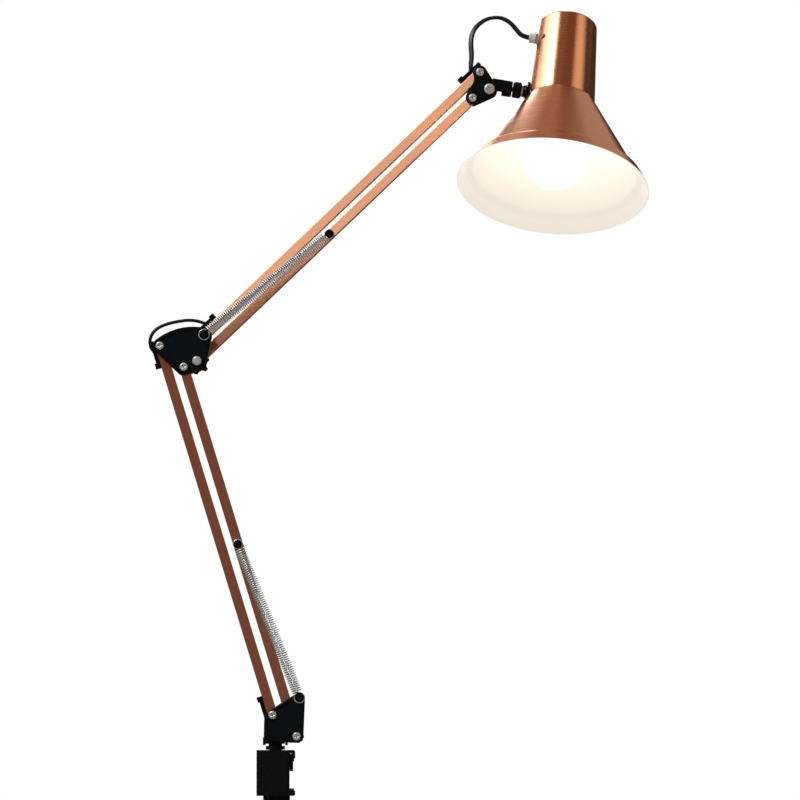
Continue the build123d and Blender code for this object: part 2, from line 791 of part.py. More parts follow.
# Table clamp
swivel_y = -swivel_setback
spine_front = swivel_y - SPINE_DEPTH / 2
spine_back = swivel_y + SPINE_DEPTH / 2
jaw_tip = spine_back + SEAT_LENGTH
clamp_foot = -JAW_OPENING - LOWER_JAW
screw_y = spine_back + SCREW_BACK
relief_face = CLAMP_WIDTH / 2 - RELIEF
collar_foot = UPPER_JAW + SPIGOT_COLLAR_GAP
spigot_foot = collar_foot - SPIGOT_LENGTH
with BuildPart() as clamp_frame:
    with BuildSketch(Plane.YZ):
        with BuildLine():
            Polyline(
                (spine_front, UPPER_JAW),
                (spine_back, UPPER_JAW),
                (jaw_tip, UPPER_JAW - JAW_TIP_TAPER),
                (jaw_tip, 0),
                (spine_back, 0),
                (spine_back, -JAW_OPENING),
                (jaw_tip, -JAW_OPENING),
                (jaw_tip, clamp_foot),
                (spine_front, clamp_foot),
                close=True,
            )
        make_face()
    extrude(amount=CLAMP_WIDTH / 2, both=True)
    throat = clamp_frame.faces().filter_by(Axis.Y).filter_by_position(Axis.Y, spine_back, spine_back)
    fillet(throat.edges().filter_by(Axis.X), CLAMP_CORNER)
    with BuildSketch(Plane.XY.offset(-JAW_OPENING + RELIEF_FOOT)):
        with Locations((relief_face, swivel_y)):
            Rectangle(CLAMP_WIDTH, SPINE_DEPTH, align=(Align.MIN, Align.CENTER))
    extrude(amount=2 * JAW_OPENING, mode=Mode.SUBTRACT)
    fillet(clamp_frame.edges().filter_by(Axis.Z).group_by(Axis.Y)[0], CLAMP_CORNER)
    fillet(clamp_frame.edges().filter_by(Axis.Z).group_by(Axis.Y)[-1], CLAMP_CORNER)
    with BuildSketch(Plane.XY.offset(-JAW_OPENING)):
        with Locations((0, screw_y)):
            Circle(BOSS_RADIUS)
    extrude(amount=BOSS_HEIGHT)
    with BuildSketch(Plane.XY.offset(clamp_foot)):
        with Locations((0, screw_y)):
            Circle(CLAMP_SCREW_RADIUS + RUNNING_FIT)
    extrude(amount=LOWER_JAW + BOSS_HEIGHT, mode=Mode.SUBTRACT)
    with BuildSketch(Plane.XY.offset(UPPER_JAW)):
        with Locations((0, swivel_y)):
            Circle(SPIGOT_RADIUS + RUNNING_FIT)
    extrude(amount=spigot_foot - BORE_CLEARANCE - UPPER_JAW, mode=Mode.SUBTRACT)
    with BuildSketch(Plane.YZ):
        with Locations((swivel_y, -LOCK_DROP)):
            Circle(LOCK_RADIUS + RUNNING_FIT)
    extrude(amount=CLAMP_WIDTH, mode=Mode.SUBTRACT)
save(clamp_frame.part, "clamp_frame")

pad_top = -REST_GAP
pad_foot = pad_top - PAD_THICK
with BuildPart() as clamp_pad:
    with BuildSketch(Plane.XY.offset(pad_foot)):
        with Locations((0, screw_y)):
            Circle(PAD_RADIUS)
    extrude(amount=PAD_THICK)
    chamfer(clamp_pad.faces().sort_by(Axis.Z)[0].edges(), PAD_LIP)
    with BuildSketch(Plane.XY.offset(pad_foot)):
        with Locations((0, screw_y)):
            Circle(CLAMP_SCREW_RADIUS + RUNNING_FIT)
    extrude(amount=PAD_SOCKET, mode=Mode.SUBTRACT)
save(clamp_pad.part, "clamp_pad")

knob_top = clamp_foot - CLAMP_KNOB_GAP
screw_top = pad_foot + PAD_SOCKET - RUNNING_FIT
with BuildPart() as clamp_screw:
    with BuildSketch(Plane.XY.offset(knob_top - CLAMP_KNOB_HEIGHT + KNOB_FLOOR)):
        with Locations((0, screw_y)):
            Circle(CLAMP_SCREW_RADIUS)
    extrude(amount=screw_top - knob_top + CLAMP_KNOB_HEIGHT - KNOB_FLOOR)
    chamfer(clamp_screw.faces().sort_by(Axis.Z)[-1].edges(), SPIGOT_TIP)
save(clamp_screw.part, "clamp_screw")

with BuildPart() as clamp_knob:
    with BuildSketch(Plane.XY.offset(knob_top)):
        with Locations((0, screw_y)):
            Circle(CLAMP_KNOB_RADIUS)
            with PolarLocations(CLAMP_KNOB_RADIUS, KNOB_LOBES):
                Circle(CLAMP_KNOB_LOBE)
    extrude(amount=-CLAMP_KNOB_HEIGHT)
    chamfer(clamp_knob.faces().sort_by(Axis.Z)[0].edges(), KNOB_EDGE)
    with BuildSketch(Plane.XY.offset(knob_top)):
        with Locations((0, screw_y)):
            Circle(CLAMP_SCREW_RADIUS + THREAD_FIT)
    extrude(amount=KNOB_FLOOR - CLAMP_KNOB_HEIGHT, mode=Mode.SUBTRACT)
save(clamp_knob.part, "clamp_knob")

lock_plane = Plane((0, swivel_y, -LOCK_DROP), x_dir=(0, 1, 0), z_dir=(1, 0, 0))
lock_start = SPIGOT_RADIUS + LOCK_TIP_GAP
lock_face = relief_face + LOCK_KNOB_GAP
with BuildPart() as lock_screw:
    with BuildSketch(lock_plane.offset(lock_start)):
        Circle(LOCK_RADIUS)
    extrude(amount=lock_face - lock_start)
    with BuildSketch(lock_plane.offset(lock_face)):
        Circle(LOCK_KNOB_RADIUS)
        with PolarLocations(LOCK_KNOB_RADIUS, LOCK_GRIPS):
            Circle(LOCK_GRIP_RADIUS, mode=Mode.SUBTRACT)
    extrude(amount=LOCK_KNOB_THICK)
save(lock_screw.part, "lock_screw")

# Base bracket
with BuildPart() as spigot:
    with BuildSketch(Plane.XY.offset(spigot_foot)):
        with Locations((0, swivel_y)):
            Circle(SPIGOT_RADIUS)
    extrude(amount=SPIGOT_LENGTH)
    chamfer(spigot.faces().sort_by(Axis.Z)[0].edges(), SPIGOT_TIP)
    with BuildSketch(Plane.XY.offset(collar_foot)):
        with Locations((0, swivel_y)):
            Circle(SPIGOT_COLLAR_RADIUS)
    extrude(amount=SPIGOT_COLLAR)
    with BuildSketch(Plane.XY.offset(collar_foot + SPIGOT_COLLAR)):
        with Locations((0, swivel_y)):
            Circle(SPIGOT_NECK_RADIUS)
    extrude(amount=TONGUE_FOOT - collar_foot - SPIGOT_COLLAR)
    with BuildSketch(arm_plane(-plate_inner)):
        with Locations((-TONGUE_BACK, TONGUE_FOOT)):
            Rectangle(TONGUE_BACK + TONGUE_FRONT, TONGUE_TOP - TONGUE_FOOT, align=(Align.MIN, Align.MIN))
    extrude(amount=2 * plate_inner)
    fillet(spigot.edges().filter_by(Axis.Y).group_by(Axis.Z)[-1], TONGUE_CORNER)
    with BuildSketch(arm_plane(-plate_inner)):
        with Locations(spigot_pin_at):
            Circle(SPIGOT_PIN_RADIUS + THREAD_FIT)
    extrude(amount=2 * plate_inner, mode=Mode.SUBTRACT)
save(spigot.part, "spigot")

with BuildPart() as spigot_pin:
    with BuildSketch(arm_plane(-plate_outer)):
        with Locations(spigot_pin_at):
            Circle(SPIGOT_PIN_RADIUS)
    extrude(amount=2 * plate_outer - SPIGOT_PIN_SINK)
save(spigot_pin.part, "spigot_pin")

screw_hole = SCREW_RADIUS + HOLE_CLEARANCE
bolt_hole = BOLT_RADIUS + HOLE_CLEARANCE
screw_end = nut_face - NUT_HEIGHT - SCREW_TIP
knob_end = knob_front - KNOB_HEIGHT * KNOB_THREAD
base_holes = [
    (base_outer, screw_hole),
    (base_inner, screw_hole),
    (spigot_pin_at, SPIGOT_PIN_RADIUS + HOLE_CLEARANCE),
]
base_pivots = [base_outer, base_inner]
save(plate(base_outline, 1, base_holes, base_pivots, [base_peg], feet=base_legs), "base_plate_near")
save(plate(base_outline, -1, base_holes, feet=base_legs), "base_plate_far")
save(bushes([(base_outer, SCREW_RADIUS), (base_inner, SCREW_RADIUS)]), "base_bushes")
save(near_screws([base_outer], SCREW_RADIUS, HEAD_RADIUS, HEAD_HEIGHT, head_seat, screw_end), "base_screw")
save(near_screws([base_inner], SCREW_RADIUS, HEAD_RADIUS, HEAD_HEIGHT, head_seat, knob_end), "base_bolt")
save(far_nuts([base_outer], NUT_RADIUS, NUT_HEIGHT, SCREW_RADIUS), "base_nut")
save(
    star_knob(base_inner, SCREW_RADIUS, THUMB_TIP, THUMB_RIBS, THUMB_SCALLOP, THUMB_SCALLOP_REACH),
    "base_knob",
)

# Lower arm
save(channel_bar(base_outer, lower_way, LOWER_ARM), "lower_outer_bar")
save(channel_bar(base_inner, lower_way, LOWER_ARM, LOWER_STUD_PLACE), "lower_inner_bar")
save(spring_stud(lower_stud_at), "lower_spring_stud")
save(cable_clip(base_outer, lower_way, outward(lower_way)), "lower_clip_base")
save(cable_clip(elbow_outer, -lower_way, outward(lower_way)), "lower_clip_elbow")
save(flex_run(base_outer, lower_way, LOWER_ARM), "flex_lower_run")
save(balance_spring(base_peg, lower_stud_at, "lower_spring"), "lower_spring")

# Elbow bracket
elbow_holes = [(elbow_outer, screw_hole), (elbow_inner, screw_hole), (elbow_bolt_at, bolt_hole)]
elbow_pivots = [elbow_outer, elbow_inner]
save(plate(elbow_outline, 1, elbow_holes, elbow_pivots, [elbow_peg], [elbow_peg]), "elbow_plate_near")
save(plate(elbow_outline, -1, elbow_holes + [(elbow_peg, screw_hole)]), "elbow_plate_far")
elbow_bores = [(elbow_outer, SCREW_RADIUS), (elbow_inner, SCREW_RADIUS)]
elbow_bores += [(elbow_bolt_at, BOLT_RADIUS), (elbow_peg, SCREW_RADIUS)]
save(bushes(elbow_bores), "elbow_bushes")
save(
    near_screws(elbow_pivots, SCREW_RADIUS, HEAD_RADIUS, HEAD_HEIGHT, head_seat, screw_end),
    "elbow_screws",
)
save(far_nuts(elbow_pivots, NUT_RADIUS, NUT_HEIGHT, SCREW_RADIUS), "elbow_nuts")
save(
    near_screws([elbow_bolt_at], BOLT_RADIUS, BOLT_HEAD_RADIUS, BOLT_HEAD_HEIGHT, plate_outer, knob_end),
    "elbow_bolt",
)
save(
    star_knob(elbow_bolt_at, BOLT_RADIUS, KNOB_TIP, KNOB_LOBES, KNOB_SCALLOP, KNOB_SCALLOP_REACH),
    "elbow_knob",
)
with BuildPart() as elbow_peg_screw:
    with BuildSketch(arm_plane(nut_face)):
        with Locations(elbow_peg):
            Circle(SCREW_RADIUS)
    extrude(amount=2 * plate_outer + PEG_CORE - SCREW_TIP)
    with BuildSketch(arm_plane(nut_face)):
        with Locations(elbow_peg):
            Circle(HEAD_RADIUS)
    extrude(amount=-HEAD_HEIGHT)
    fillet(elbow_peg_screw.faces().sort_by(Axis.Y)[-1].edges(), HEAD_HEIGHT * HEAD_DOME)
save(elbow_peg_screw.part, "elbow_peg_screw")

# Upper arm
save(channel_bar(elbow_peg, upper_way, UPPER_ARM), "upper_outer_bar")
save(channel_bar(elbow_bolt_at, upper_way, UPPER_ARM, UPPER_STUD_PLACE, notched=True), "upper_inner_bar")
save(spring_stud(upper_stud_at), "upper_spring_stud")
save(cable_clip(elbow_peg, upper_way, outward(upper_way)), "upper_clip_elbow")
save(cable_clip(head_outer, -upper_way, outward(upper_way)), "upper_clip_head")
save(flex_run(elbow_peg, upper_way, UPPER_ARM), "flex_upper_run")
save(balance_spring(elbow_peg, upper_stud_at, "upper_spring"), "upper_spring")

# Head bracket
head_pivots = [head_outer, head_inner]
head_holes = [(head_outer, screw_hole), (head_inner, screw_hole), (tilt_at, bolt_hole)]
save(plate(head_outline, 1, head_holes, head_pivots), "head_plate_near")
save(plate(head_outline, -1, head_holes), "head_plate_far")
save(bushes([(head_outer, SCREW_RADIUS), (head_inner, SCREW_RADIUS)]), "head_bushes")
save(near_screws(head_pivots, SCREW_RADIUS, HEAD_RADIUS, HEAD_HEIGHT, head_seat, screw_end), "head_screws")
save(far_nuts(head_pivots, NUT_RADIUS, NUT_HEIGHT, SCREW_RADIUS), "head_nuts")
tilt_end = nut_face - TILT_NUT_HEIGHT - SCREW_TIP
save(
    near_screws([tilt_at], BOLT_RADIUS, TILT_HEAD_RADIUS, TILT_HEAD_HEIGHT, plate_outer, tilt_end),
    "tilt_screw",
)
save(far_nuts([tilt_at], TILT_NUT_RADIUS, TILT_NUT_HEIGHT, BOLT_RADIUS), "tilt_nut")

# Knuckle and stem
collar_end = COLLAR_START + COLLAR_LENGTH
stem_start = collar_end + COLLAR_GAP
washer_start = stem_start + STEM_COLLAR_LENGTH
foot_start = washer_start + WASHER_THICK
bolt_foot = collar_end - SWIVEL_BOLT_GRIP
eye_half = plate_inner - EYE_CLEARANCE
with BuildPart() as knuckle:
    with BuildSketch(arm_plane(-eye_half)):
        with Locations(tilt_at):
            Circle(EYE_RADIUS)
    extrude(amount=2 * eye_half)
    with BuildSketch(knuckle_profile):
        with Locations((NECK_START, -NECK_FOOT)):
            Rectangle(COLLAR_START - NECK_START, NECK_FOOT + NECK_TOP, align=(Align.MIN, Align.MIN))
    extrude(amount=eye_half, both=True)
    with BuildSketch(knuckle_section(COLLAR_START)):
        Circle(COLLAR_RADIUS)
    extrude(amount=COLLAR_LENGTH)
    chamfer(knuckle.faces().sort_by(knuckle_axis)[-1].edges(), COLLAR_EDGE)
    with BuildSketch(arm_plane(-eye_half)):
        with Locations(tilt_at):
            Circle(BOLT_RADIUS + RUNNING_FIT)
    extrude(amount=2 * eye_half, mode=Mode.SUBTRACT)
    with BuildSketch(knuckle_section(collar_end)):
        Circle(BOLT_RADIUS + RUNNING_FIT)
    extrude(amount=bolt_foot - collar_end - SCREW_TIP, mode=Mode.SUBTRACT)
save(knuckle.part, "knuckle")

with BuildPart() as stem_collar:
    with BuildSketch(knuckle_section(stem_start)):
        Circle(COLLAR_RADIUS)
    extrude(amount=STEM_COLLAR_LENGTH)
    for end in (0, -1):
        chamfer(stem_collar.faces().sort_by(knuckle_axis)[end].edges(), COLLAR_EDGE)
    with BuildSketch(knuckle_section(stem_start)):
        Circle(bolt_hole)
    extrude(amount=STEM_COLLAR_LENGTH, mode=Mode.SUBTRACT)
save(stem_collar.part, "stem_collar")

with BuildPart() as stem_washer:
    with BuildSketch(knuckle_section(washer_start)):
        Circle(WASHER_RADIUS)
        Circle(bolt_hole, mode=Mode.SUBTRACT)
    extrude(amount=WASHER_THICK)
save(stem_washer.part, "stem_washer")

shade_corners = [
    (0, CAP_TOP),
    (CAP_TOP_RADIUS, CAP_TOP),
    (CAP_FOOT_RADIUS, CAP_FOOT),
    (CONE_FOOT_RADIUS, CONE_FOOT),
    (SHOULDER_RADIUS, CONE_FOOT - SHOULDER_DROP),
    (RIM_RADIUS, RIM),
]
shade_rounds = (CAP_ROUND, CREASE_ROUND, CREASE_ROUND, CREASE_ROUND)
foot_deep = WALL_REACH + FOOT_OVERRUN
foot_edge = WALL_REACH - FOOT_EDGE
with BuildPart() as shade_foot:
    with BuildSketch(knuckle_profile):
        with BuildLine():
            flare = TangentArc((foot_start, FOOT_NECK_RADIUS), (foot_edge, FOOT_RADIUS), tangent=(1, 0))
            Polyline(
                flare @ 1,
                (foot_deep, FOOT_RADIUS),
                (foot_deep, bolt_hole),
                (foot_start, bolt_hole),
                flare @ 0,
            )
        make_face()
    revolve(axis=knuckle_axis)
    with BuildSketch(shade_profile):
        with BuildLine():
            skin = FilletPolyline(*shade_corners, radius=shade_rounds)
            Polyline(skin @ 1, (0, RIM), skin @ 0)
        make_face()
    revolve(axis=shade_axis, mode=Mode.SUBTRACT)
save(shade_foot.part, "shade_foot")

# Shade
def cap_wall(height):
    """Outer radius of the cap at a height."""
    return CAP_FOOT_RADIUS - (height - CAP_FOOT) * tan(cap_taper)


def cap_outlook(height, around=0.0):
    """The plane on the shade's axis that looks out to the arm's side, or turned to the near side."""
    out = (-shade_right).rotate(Axis((0, 0, 0), shade_way), around)
    return Plane(shade_centre + shade_way * height, x_dir=shade_way.cross(out), z_dir=out)


with BuildPart() as shade:
    with BuildSketch(shade_profile):
        with BuildLine():
            FilletPolyline(*shade_corners, radius=shade_rounds)
            offset(amount=SHADE_WALL, side=Side.RIGHT)
        make_face()
    revolve(axis=shade_axis)
    with BuildSketch(knuckle_section(WALL_REACH - FOOT_OVERRUN)):
        Circle(bolt_hole)
    extrude(amount=2 * FOOT_OVERRUN, mode=Mode.SUBTRACT)
    with BuildSketch(cap_outlook(GLAND_HEIGHT)):
        Circle(GLAND_RADIUS + HOLE_CLEARANCE)
    extrude(amount=2 * CAP_FOOT_RADIUS, mode=Mode.SUBTRACT)
    with BuildSketch(cap_outlook(GRIP_SCREW_HEIGHT, GRIP_SCREW_AROUND)):
        Circle(GRIP_SCREW_RADIUS + HOLE_CLEARANCE)
    extrude(amount=2 * CAP_FOOT_RADIUS, mode=Mode.SUBTRACT)
save(shade.part, "shade")

gland_wall = cap_wall(GLAND_HEIGHT)
gland_view = cap_outlook(GLAND_HEIGHT)
gland_inner = gland_wall - SHADE_WALL - GLAND_INSIDE
gland_mouth = gland_wall + GLAND_LENGTH
with BuildPart() as cable_gland:
    with BuildSketch(gland_view.offset(gland_inner)):
        Circle(GLAND_RADIUS)
    extrude(amount=gland_mouth - gland_inner)
    with BuildSketch(gland_view.offset(gland_wall + GLAND_LIP_GAP)):
        Circle(GLAND_LIP_RADIUS)
    extrude(amount=GLAND_LIP)
    with BuildSketch(gland_view.offset(gland_inner)):
        Circle(FLEX_WIDTH / 2 + FLEX_SLOT_CLEARANCE)
    extrude(amount=gland_mouth - gland_inner, mode=Mode.SUBTRACT)
save(cable_gland.part, "cable_gland")

grip_view = cap_outlook(GRIP_SCREW_HEIGHT, GRIP_SCREW_AROUND)
grip_face = cap_wall(GRIP_SCREW_HEIGHT) + HOLE_CLEARANCE
with BuildPart() as grip_screw:
    with BuildSketch(grip_view.offset(grip_face - GRIP_SCREW_LENGTH)):
        Circle(GRIP_SCREW_RADIUS)
    extrude(amount=GRIP_SCREW_LENGTH)
    with BuildSketch(grip_view.offset(grip_face)):
        Circle(GRIP_SCREW_HEAD)
    extrude(amount=GRIP_SCREW_HEAD_HEIGHT)
save(grip_screw.part, "grip_screw")

# Lamp holder and bulb
shell_inner = BULB_CAP_RADIUS + THREAD_FIT
shell_outer = shell_inner + SHELL_WALL
holder_bore = shell_outer + SHELL_GAP
nipple_top = HOLDER_TOP + NIPPLE_LENGTH
with BuildPart() as lamp_holder:
    with BuildSketch(shade_profile):
        with BuildLine():
            Polyline(
                (holder_bore, HOLDER_FOOT),
                (HOLDER_RADIUS, HOLDER_FOOT),
                (HOLDER_RADIUS, HOLDER_TOP - HOLDER_ROUND),
                (HOLDER_RADIUS - HOLDER_ROUND, HOLDER_TOP),
                (NIPPLE_RADIUS, HOLDER_TOP),
                (NIPPLE_RADIUS, nipple_top),
                (NIPPLE_BORE, nipple_top),
                (NIPPLE_BORE, HOLDER_BORE_TOP),
                (holder_bore, HOLDER_BORE_TOP),
                close=True,
            )
        make_face()
    revolve(axis=shade_axis)
save(lamp_holder.part, "lamp_holder")

with BuildPart() as holder_shell:
    with BuildSketch(shade_section(SHELL_FOOT)):
        Circle(shell_outer)
        Circle(shell_inner, mode=Mode.SUBTRACT)
    extrude(amount=HOLDER_BORE_TOP - SHELL_FOOT)
save(holder_shell.part, "holder_shell")

bulb_top = BULB_CAP_TOP + BULB_TIP
with BuildPart() as holder_contact:
    with BuildSketch(shade_section(bulb_top)):
        Circle(CONTACT_RADIUS)
    extrude(amount=CONTACT_THICK)
    with BuildSketch(shade_section(bulb_top)):
        Circle(CONTACT_STEM)
    extrude(amount=HOLDER_BORE_TOP + NIPPLE_LENGTH - bulb_top)
save(holder_contact.part, "holder_contact")

with BuildPart() as bulb_cap:
    with BuildSketch(shade_profile):
        with BuildLine():
            Polyline(
                (BULB_CAP_RADIUS, BULB_NECK),
                (BULB_CAP_RADIUS, BULB_CAP_TOP - BULB_CAP_TAPER),
                (BULB_CAP_END_RADIUS, BULB_CAP_TOP),
                (BULB_TIP_RADIUS, BULB_CAP_TOP),
                (BULB_TIP_RADIUS, bulb_top),
                (0, bulb_top),
                (0, BULB_CAP_TOP - BULB_CAP_WALL),
                (BULB_CAP_END_RADIUS - BULB_CAP_WALL, BULB_CAP_TOP - BULB_CAP_WALL),
                (BULB_CAP_RADIUS - BULB_CAP_WALL, BULB_CAP_TOP - BULB_CAP_TAPER - BULB_CAP_WALL),
                (BULB_CAP_RADIUS - BULB_CAP_WALL, BULB_NECK),
                close=True,
            )
        make_face()
    revolve(axis=shade_axis)
save(bulb_cap.part, "bulb_cap")

with BuildPart() as bulb_glass:
    with BuildSketch(shade_profile):
        with BuildLine():
            globe = CenterArc((0, BULB_CENTRE), BULB_RADIUS, -90, 90 + BULB_SHOULDER)
            TangentArc(globe @ 1, (BULB_NECK_RADIUS, BULB_NECK), tangent=globe % 1)
            offset(amount=BULB_WALL, side=Side.LEFT)
        make_face()
    revolve(axis=shade_axis)
save(bulb_glass.part, "bulb_glass")

wall_inside = WALL_REACH + SHADE_WALL
inner_radius = stem_radius - SHADE_WALL
strip_dip = inner_radius - sqrt(inner_radius**2 - (BRACKET_WIDTH / 2) ** 2)
strip_face = wall_inside + strip_dip + BRACKET_GAP
strip_back = strip_face + BRACKET_THICK
axis_reach = WALL_REACH + stem_radius
strip_rise = HOLDER_TOP - STEM_HEIGHT
strip_lift = (strip_rise - (axis_reach - strip_back) * sin(cap_taper)) / cos(cap_taper)
strip_left = (axis_reach - strip_back) * cos(cap_taper) - strip_lift * sin(cap_taper)
tab_top = HOLDER_TOP + BRACKET_THICK


def stem_section(distance):
    """The plane square to the stem, turned with the shade so that its y runs up the cap's wall."""
    return Plane(
        stem_centre + knuckle_way * distance,
        x_dir=knuckle_up.cross(knuckle_way),
        z_dir=knuckle_way,
    )


with BuildPart() as holder_bracket:
    with BuildSketch(stem_section(strip_face)):
        with Locations((0, -BRACKET_FOOT)):
            Rectangle(
                BRACKET_WIDTH,
                BRACKET_FOOT + strip_rise + BRACKET_THICK,
                align=(Align.CENTER, Align.MIN),
            )
    extrude(amount=BRACKET_THICK)
    with BuildSketch(shade_section(HOLDER_TOP)):
        with Locations((-strip_left - BRACKET_THICK / 2, 0)):
            Rectangle(
                strip_left + BRACKET_THICK / 2 + BRACKET_REACH,
                BRACKET_WIDTH,
                align=(Align.MIN, Align.CENTER),
            )
    extrude(amount=BRACKET_THICK)
    with BuildSketch(shade_section(HOLDER_TOP)):
        Circle(NIPPLE_RADIUS + HOLE_CLEARANCE)
    extrude(amount=BRACKET_THICK, mode=Mode.SUBTRACT)
    with BuildSketch(shade_section(tab_top)):
        Circle(CAP_FOOT_RADIUS)
    extrude(amount=NIPPLE_LENGTH, mode=Mode.SUBTRACT)
    with BuildSketch(stem_section(strip_face)):
        Circle(bolt_hole)
    extrude(amount=BRACKET_THICK, mode=Mode.SUBTRACT)
save(holder_bracket.part, "holder_bracket")

with BuildPart() as holder_nut:
    with BuildSketch(shade_section(tab_top)):
        RegularPolygon(NIPPLE_NUT_RADIUS, 6)
        Circle(NIPPLE_RADIUS + THREAD_FIT, mode=Mode.SUBTRACT)
    extrude(amount=NIPPLE_NUT_HEIGHT)
save(holder_nut.part, "holder_nut")

with BuildPart() as swivel_bolt:
    with BuildSketch(knuckle_section(bolt_foot)):
        Circle(BOLT_RADIUS)
    extrude(amount=strip_back - bolt_foot)
    with BuildSketch(stem_section(strip_back)):
        RegularPolygon(SWIVEL_BOLT_HEAD_RADIUS, 6)
    extrude(amount=SWIVEL_BOLT_HEAD)
save(swivel_bolt.part, "swivel_bolt")

# Free lengths of flex
def beside(pivot, away, out, places):
    """Points beside a bar, from distances along it and outward from its middle."""
    return [spot(pivot + away * along + out * off) for along, off in places]


lower_out = outward(lower_way)
upper_out = outward(upper_way)
handover = [(FLEX_HANDOVER, flex_seat)]
elbow_route = beside(elbow_outer, -lower_way, lower_out, handover + FLEX_FROM_LOWER)
elbow_route += [spot(elbow_outer + Vector(x, z)) for x, z in ELBOW_LOOP]
elbow_route += beside(elbow_peg, upper_way, upper_out, FLEX_INTO_UPPER + handover)
save(flex_loop(elbow_route, "flex_elbow_loop"), "flex_elbow_loop")

gland_at = gland_view.offset(gland_mouth).origin
gland_out = gland_view.z_dir
head_route = beside(head_outer, -upper_way, upper_out, handover + FLEX_FROM_UPPER)
head_route += [spot(head_outer + Vector(x, z), -behind) for x, z, behind in HEAD_LOOP]
head_route += [gland_at + gland_out * GLAND_RUN, gland_at - gland_out * FLEX_TUCK]
save(flex_loop(head_route, "flex_head_loop"), "flex_head_loop")

for pivot_name, pivot in (
    ("base outer", spot(base_outer)),
    ("base inner", spot(base_inner)),
    ("base peg", spot(base_peg)),
    ("elbow outer", spot(elbow_outer)),
    ("elbow inner", spot(elbow_inner)),
    ("elbow bolt", spot(elbow_bolt_at)),
    ("elbow peg", spot(elbow_peg)),
    ("head outer", spot(head_outer)),
    ("head inner", spot(head_inner)),
    ("tilt", tilt_centre),
    ("stem", stem_centre),
    ("shade centre", shade_centre),
    ("shade way", shade_way),
    ("shade right", shade_right),
    ("knuckle way", knuckle_way),
    ("gland mouth", gland_at),
):
    print(pivot_name, tuple(round(value, 3) for value in pivot))
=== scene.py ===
import math

import bpy
from mathutils import Matrix, Vector


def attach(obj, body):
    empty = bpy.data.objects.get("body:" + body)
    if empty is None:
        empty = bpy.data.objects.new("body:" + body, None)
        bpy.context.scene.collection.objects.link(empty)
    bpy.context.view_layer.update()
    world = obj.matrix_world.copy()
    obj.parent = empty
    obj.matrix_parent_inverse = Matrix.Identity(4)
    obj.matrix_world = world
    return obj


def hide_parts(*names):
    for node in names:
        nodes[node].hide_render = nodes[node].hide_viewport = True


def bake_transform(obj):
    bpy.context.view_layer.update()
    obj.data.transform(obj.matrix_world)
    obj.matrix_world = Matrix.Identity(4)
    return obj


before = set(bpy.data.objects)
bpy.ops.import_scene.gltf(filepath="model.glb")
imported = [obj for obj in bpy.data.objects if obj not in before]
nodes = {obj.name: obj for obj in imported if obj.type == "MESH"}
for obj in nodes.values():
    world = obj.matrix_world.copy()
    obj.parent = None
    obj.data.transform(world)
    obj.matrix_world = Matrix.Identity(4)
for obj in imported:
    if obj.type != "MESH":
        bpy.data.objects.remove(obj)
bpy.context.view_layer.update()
scene = bpy.context.scene

# Places of the lamp in millimetres, as in the part's source, and its directions
MM = 0.001
ARM_Y = -36.5
AWAY = Vector((0, 1, 0))
LOWER_WAY = Vector((-0.294, 0.0, 0.956))
UPPER_WAY = Vector((0.722, 0.0, 0.692))
SHADE_CENTRE = Vector((262.188, -38.212, 604.927))
SHADE_WAY = Vector((0.093, 0.398, 0.913)).normalized()
SHADE_RIGHT = Vector((0.994, 0.020, -0.110))
BASE_PEG = (22.2, 55.8)
BASE_INNER = (19.6, 20.5)
BASE_OUTER = (-2.5, 40.0)
ELBOW_OUTER = (-106.59, 378.351)
ELBOW_INNER = (-84.49, 358.851)
ELBOW_BOLT = (-72.39, 364.351)
ELBOW_PEG = (-65.69, 388.151)
HEAD_OUTER = (187.648, 631.093)
HEAD_INNER = (180.948, 607.293)
TILT = (196.348, 615.293)
LOWER_STUD_PLACE = 183.5
UPPER_STUD_PLACE = 168.3

# Shade and bulb, radius and height on the shade's axis, in millimetres; corners also have a
# round, and the bulb's shoulder is in degrees above its widest place
SHADE_CORNERS = [(27.3, 82.0, 3.0), (31.6, -2.1, 5.0), (75.4, -76.0, 5.0), (81.4, -80.2, 5.0)]
SHADE_RIM = (88.0, -91.4)
SHADE_WALL = 0.9
BULB_RADIUS = 30.0
BULB_CENTRE = -60.0
BULB_SHOULDER = 38.0
BULB_NECK = (13.0, -12.0)

# Balance springs, in millimetres, the hook's opening in degrees
SPRING_OFFSET = 12.0
SPRING_RADIUS = 4.4
SPRING_WIRE = 1.1
SPRING_TURNS = 70
RING_RADIUS = 4.7
HOOK_RADIUS = 4.2
HOOK_OPENING = 22.0
COIL_LEAD = 0.5

# Flat flex, in millimetres
FLEX_WIDTH = 5.0
FLEX_THICK = 3.0
ELBOW_ROUTE = [
    (-95.9, 350.3), (-98.8, 359.8), (-104.6, 366.4), (-111.4, 371.6), (-116.4, 379.0),
    (-115.2, 388.6), (-109.0, 395.4), (-99.6, 399.2), (-89.6, 401.4), (-79.6, 402.6),
    (-70.5, 401.3), (-64.1, 398.6), (-57.6, 397.9), (-49.9, 400.6), (-42.7, 407.5),
]
HEAD_ROUTE = [
    (167.3, -36.5, 608.9), (174.6, -36.5, 615.8), (178.2, -36.5, 622.9),
    (179.5, -36.5, 630.2), (179.3, -36.5, 638.3), (180.3, -35.5, 648.4),
    (179.1, -33.3, 660.1), (181.3, -30.5, 670.9), (187.4, -27.0, 678.7),
    (196.6, -23.5, 684.4), (207.6, -19.7, 685.3), (216.1, -16.5, 681.1),
    (221.6, -14.9, 674.9), (227.7, -13.5, 667.8), (237.6, -13.3, 666.7),
]

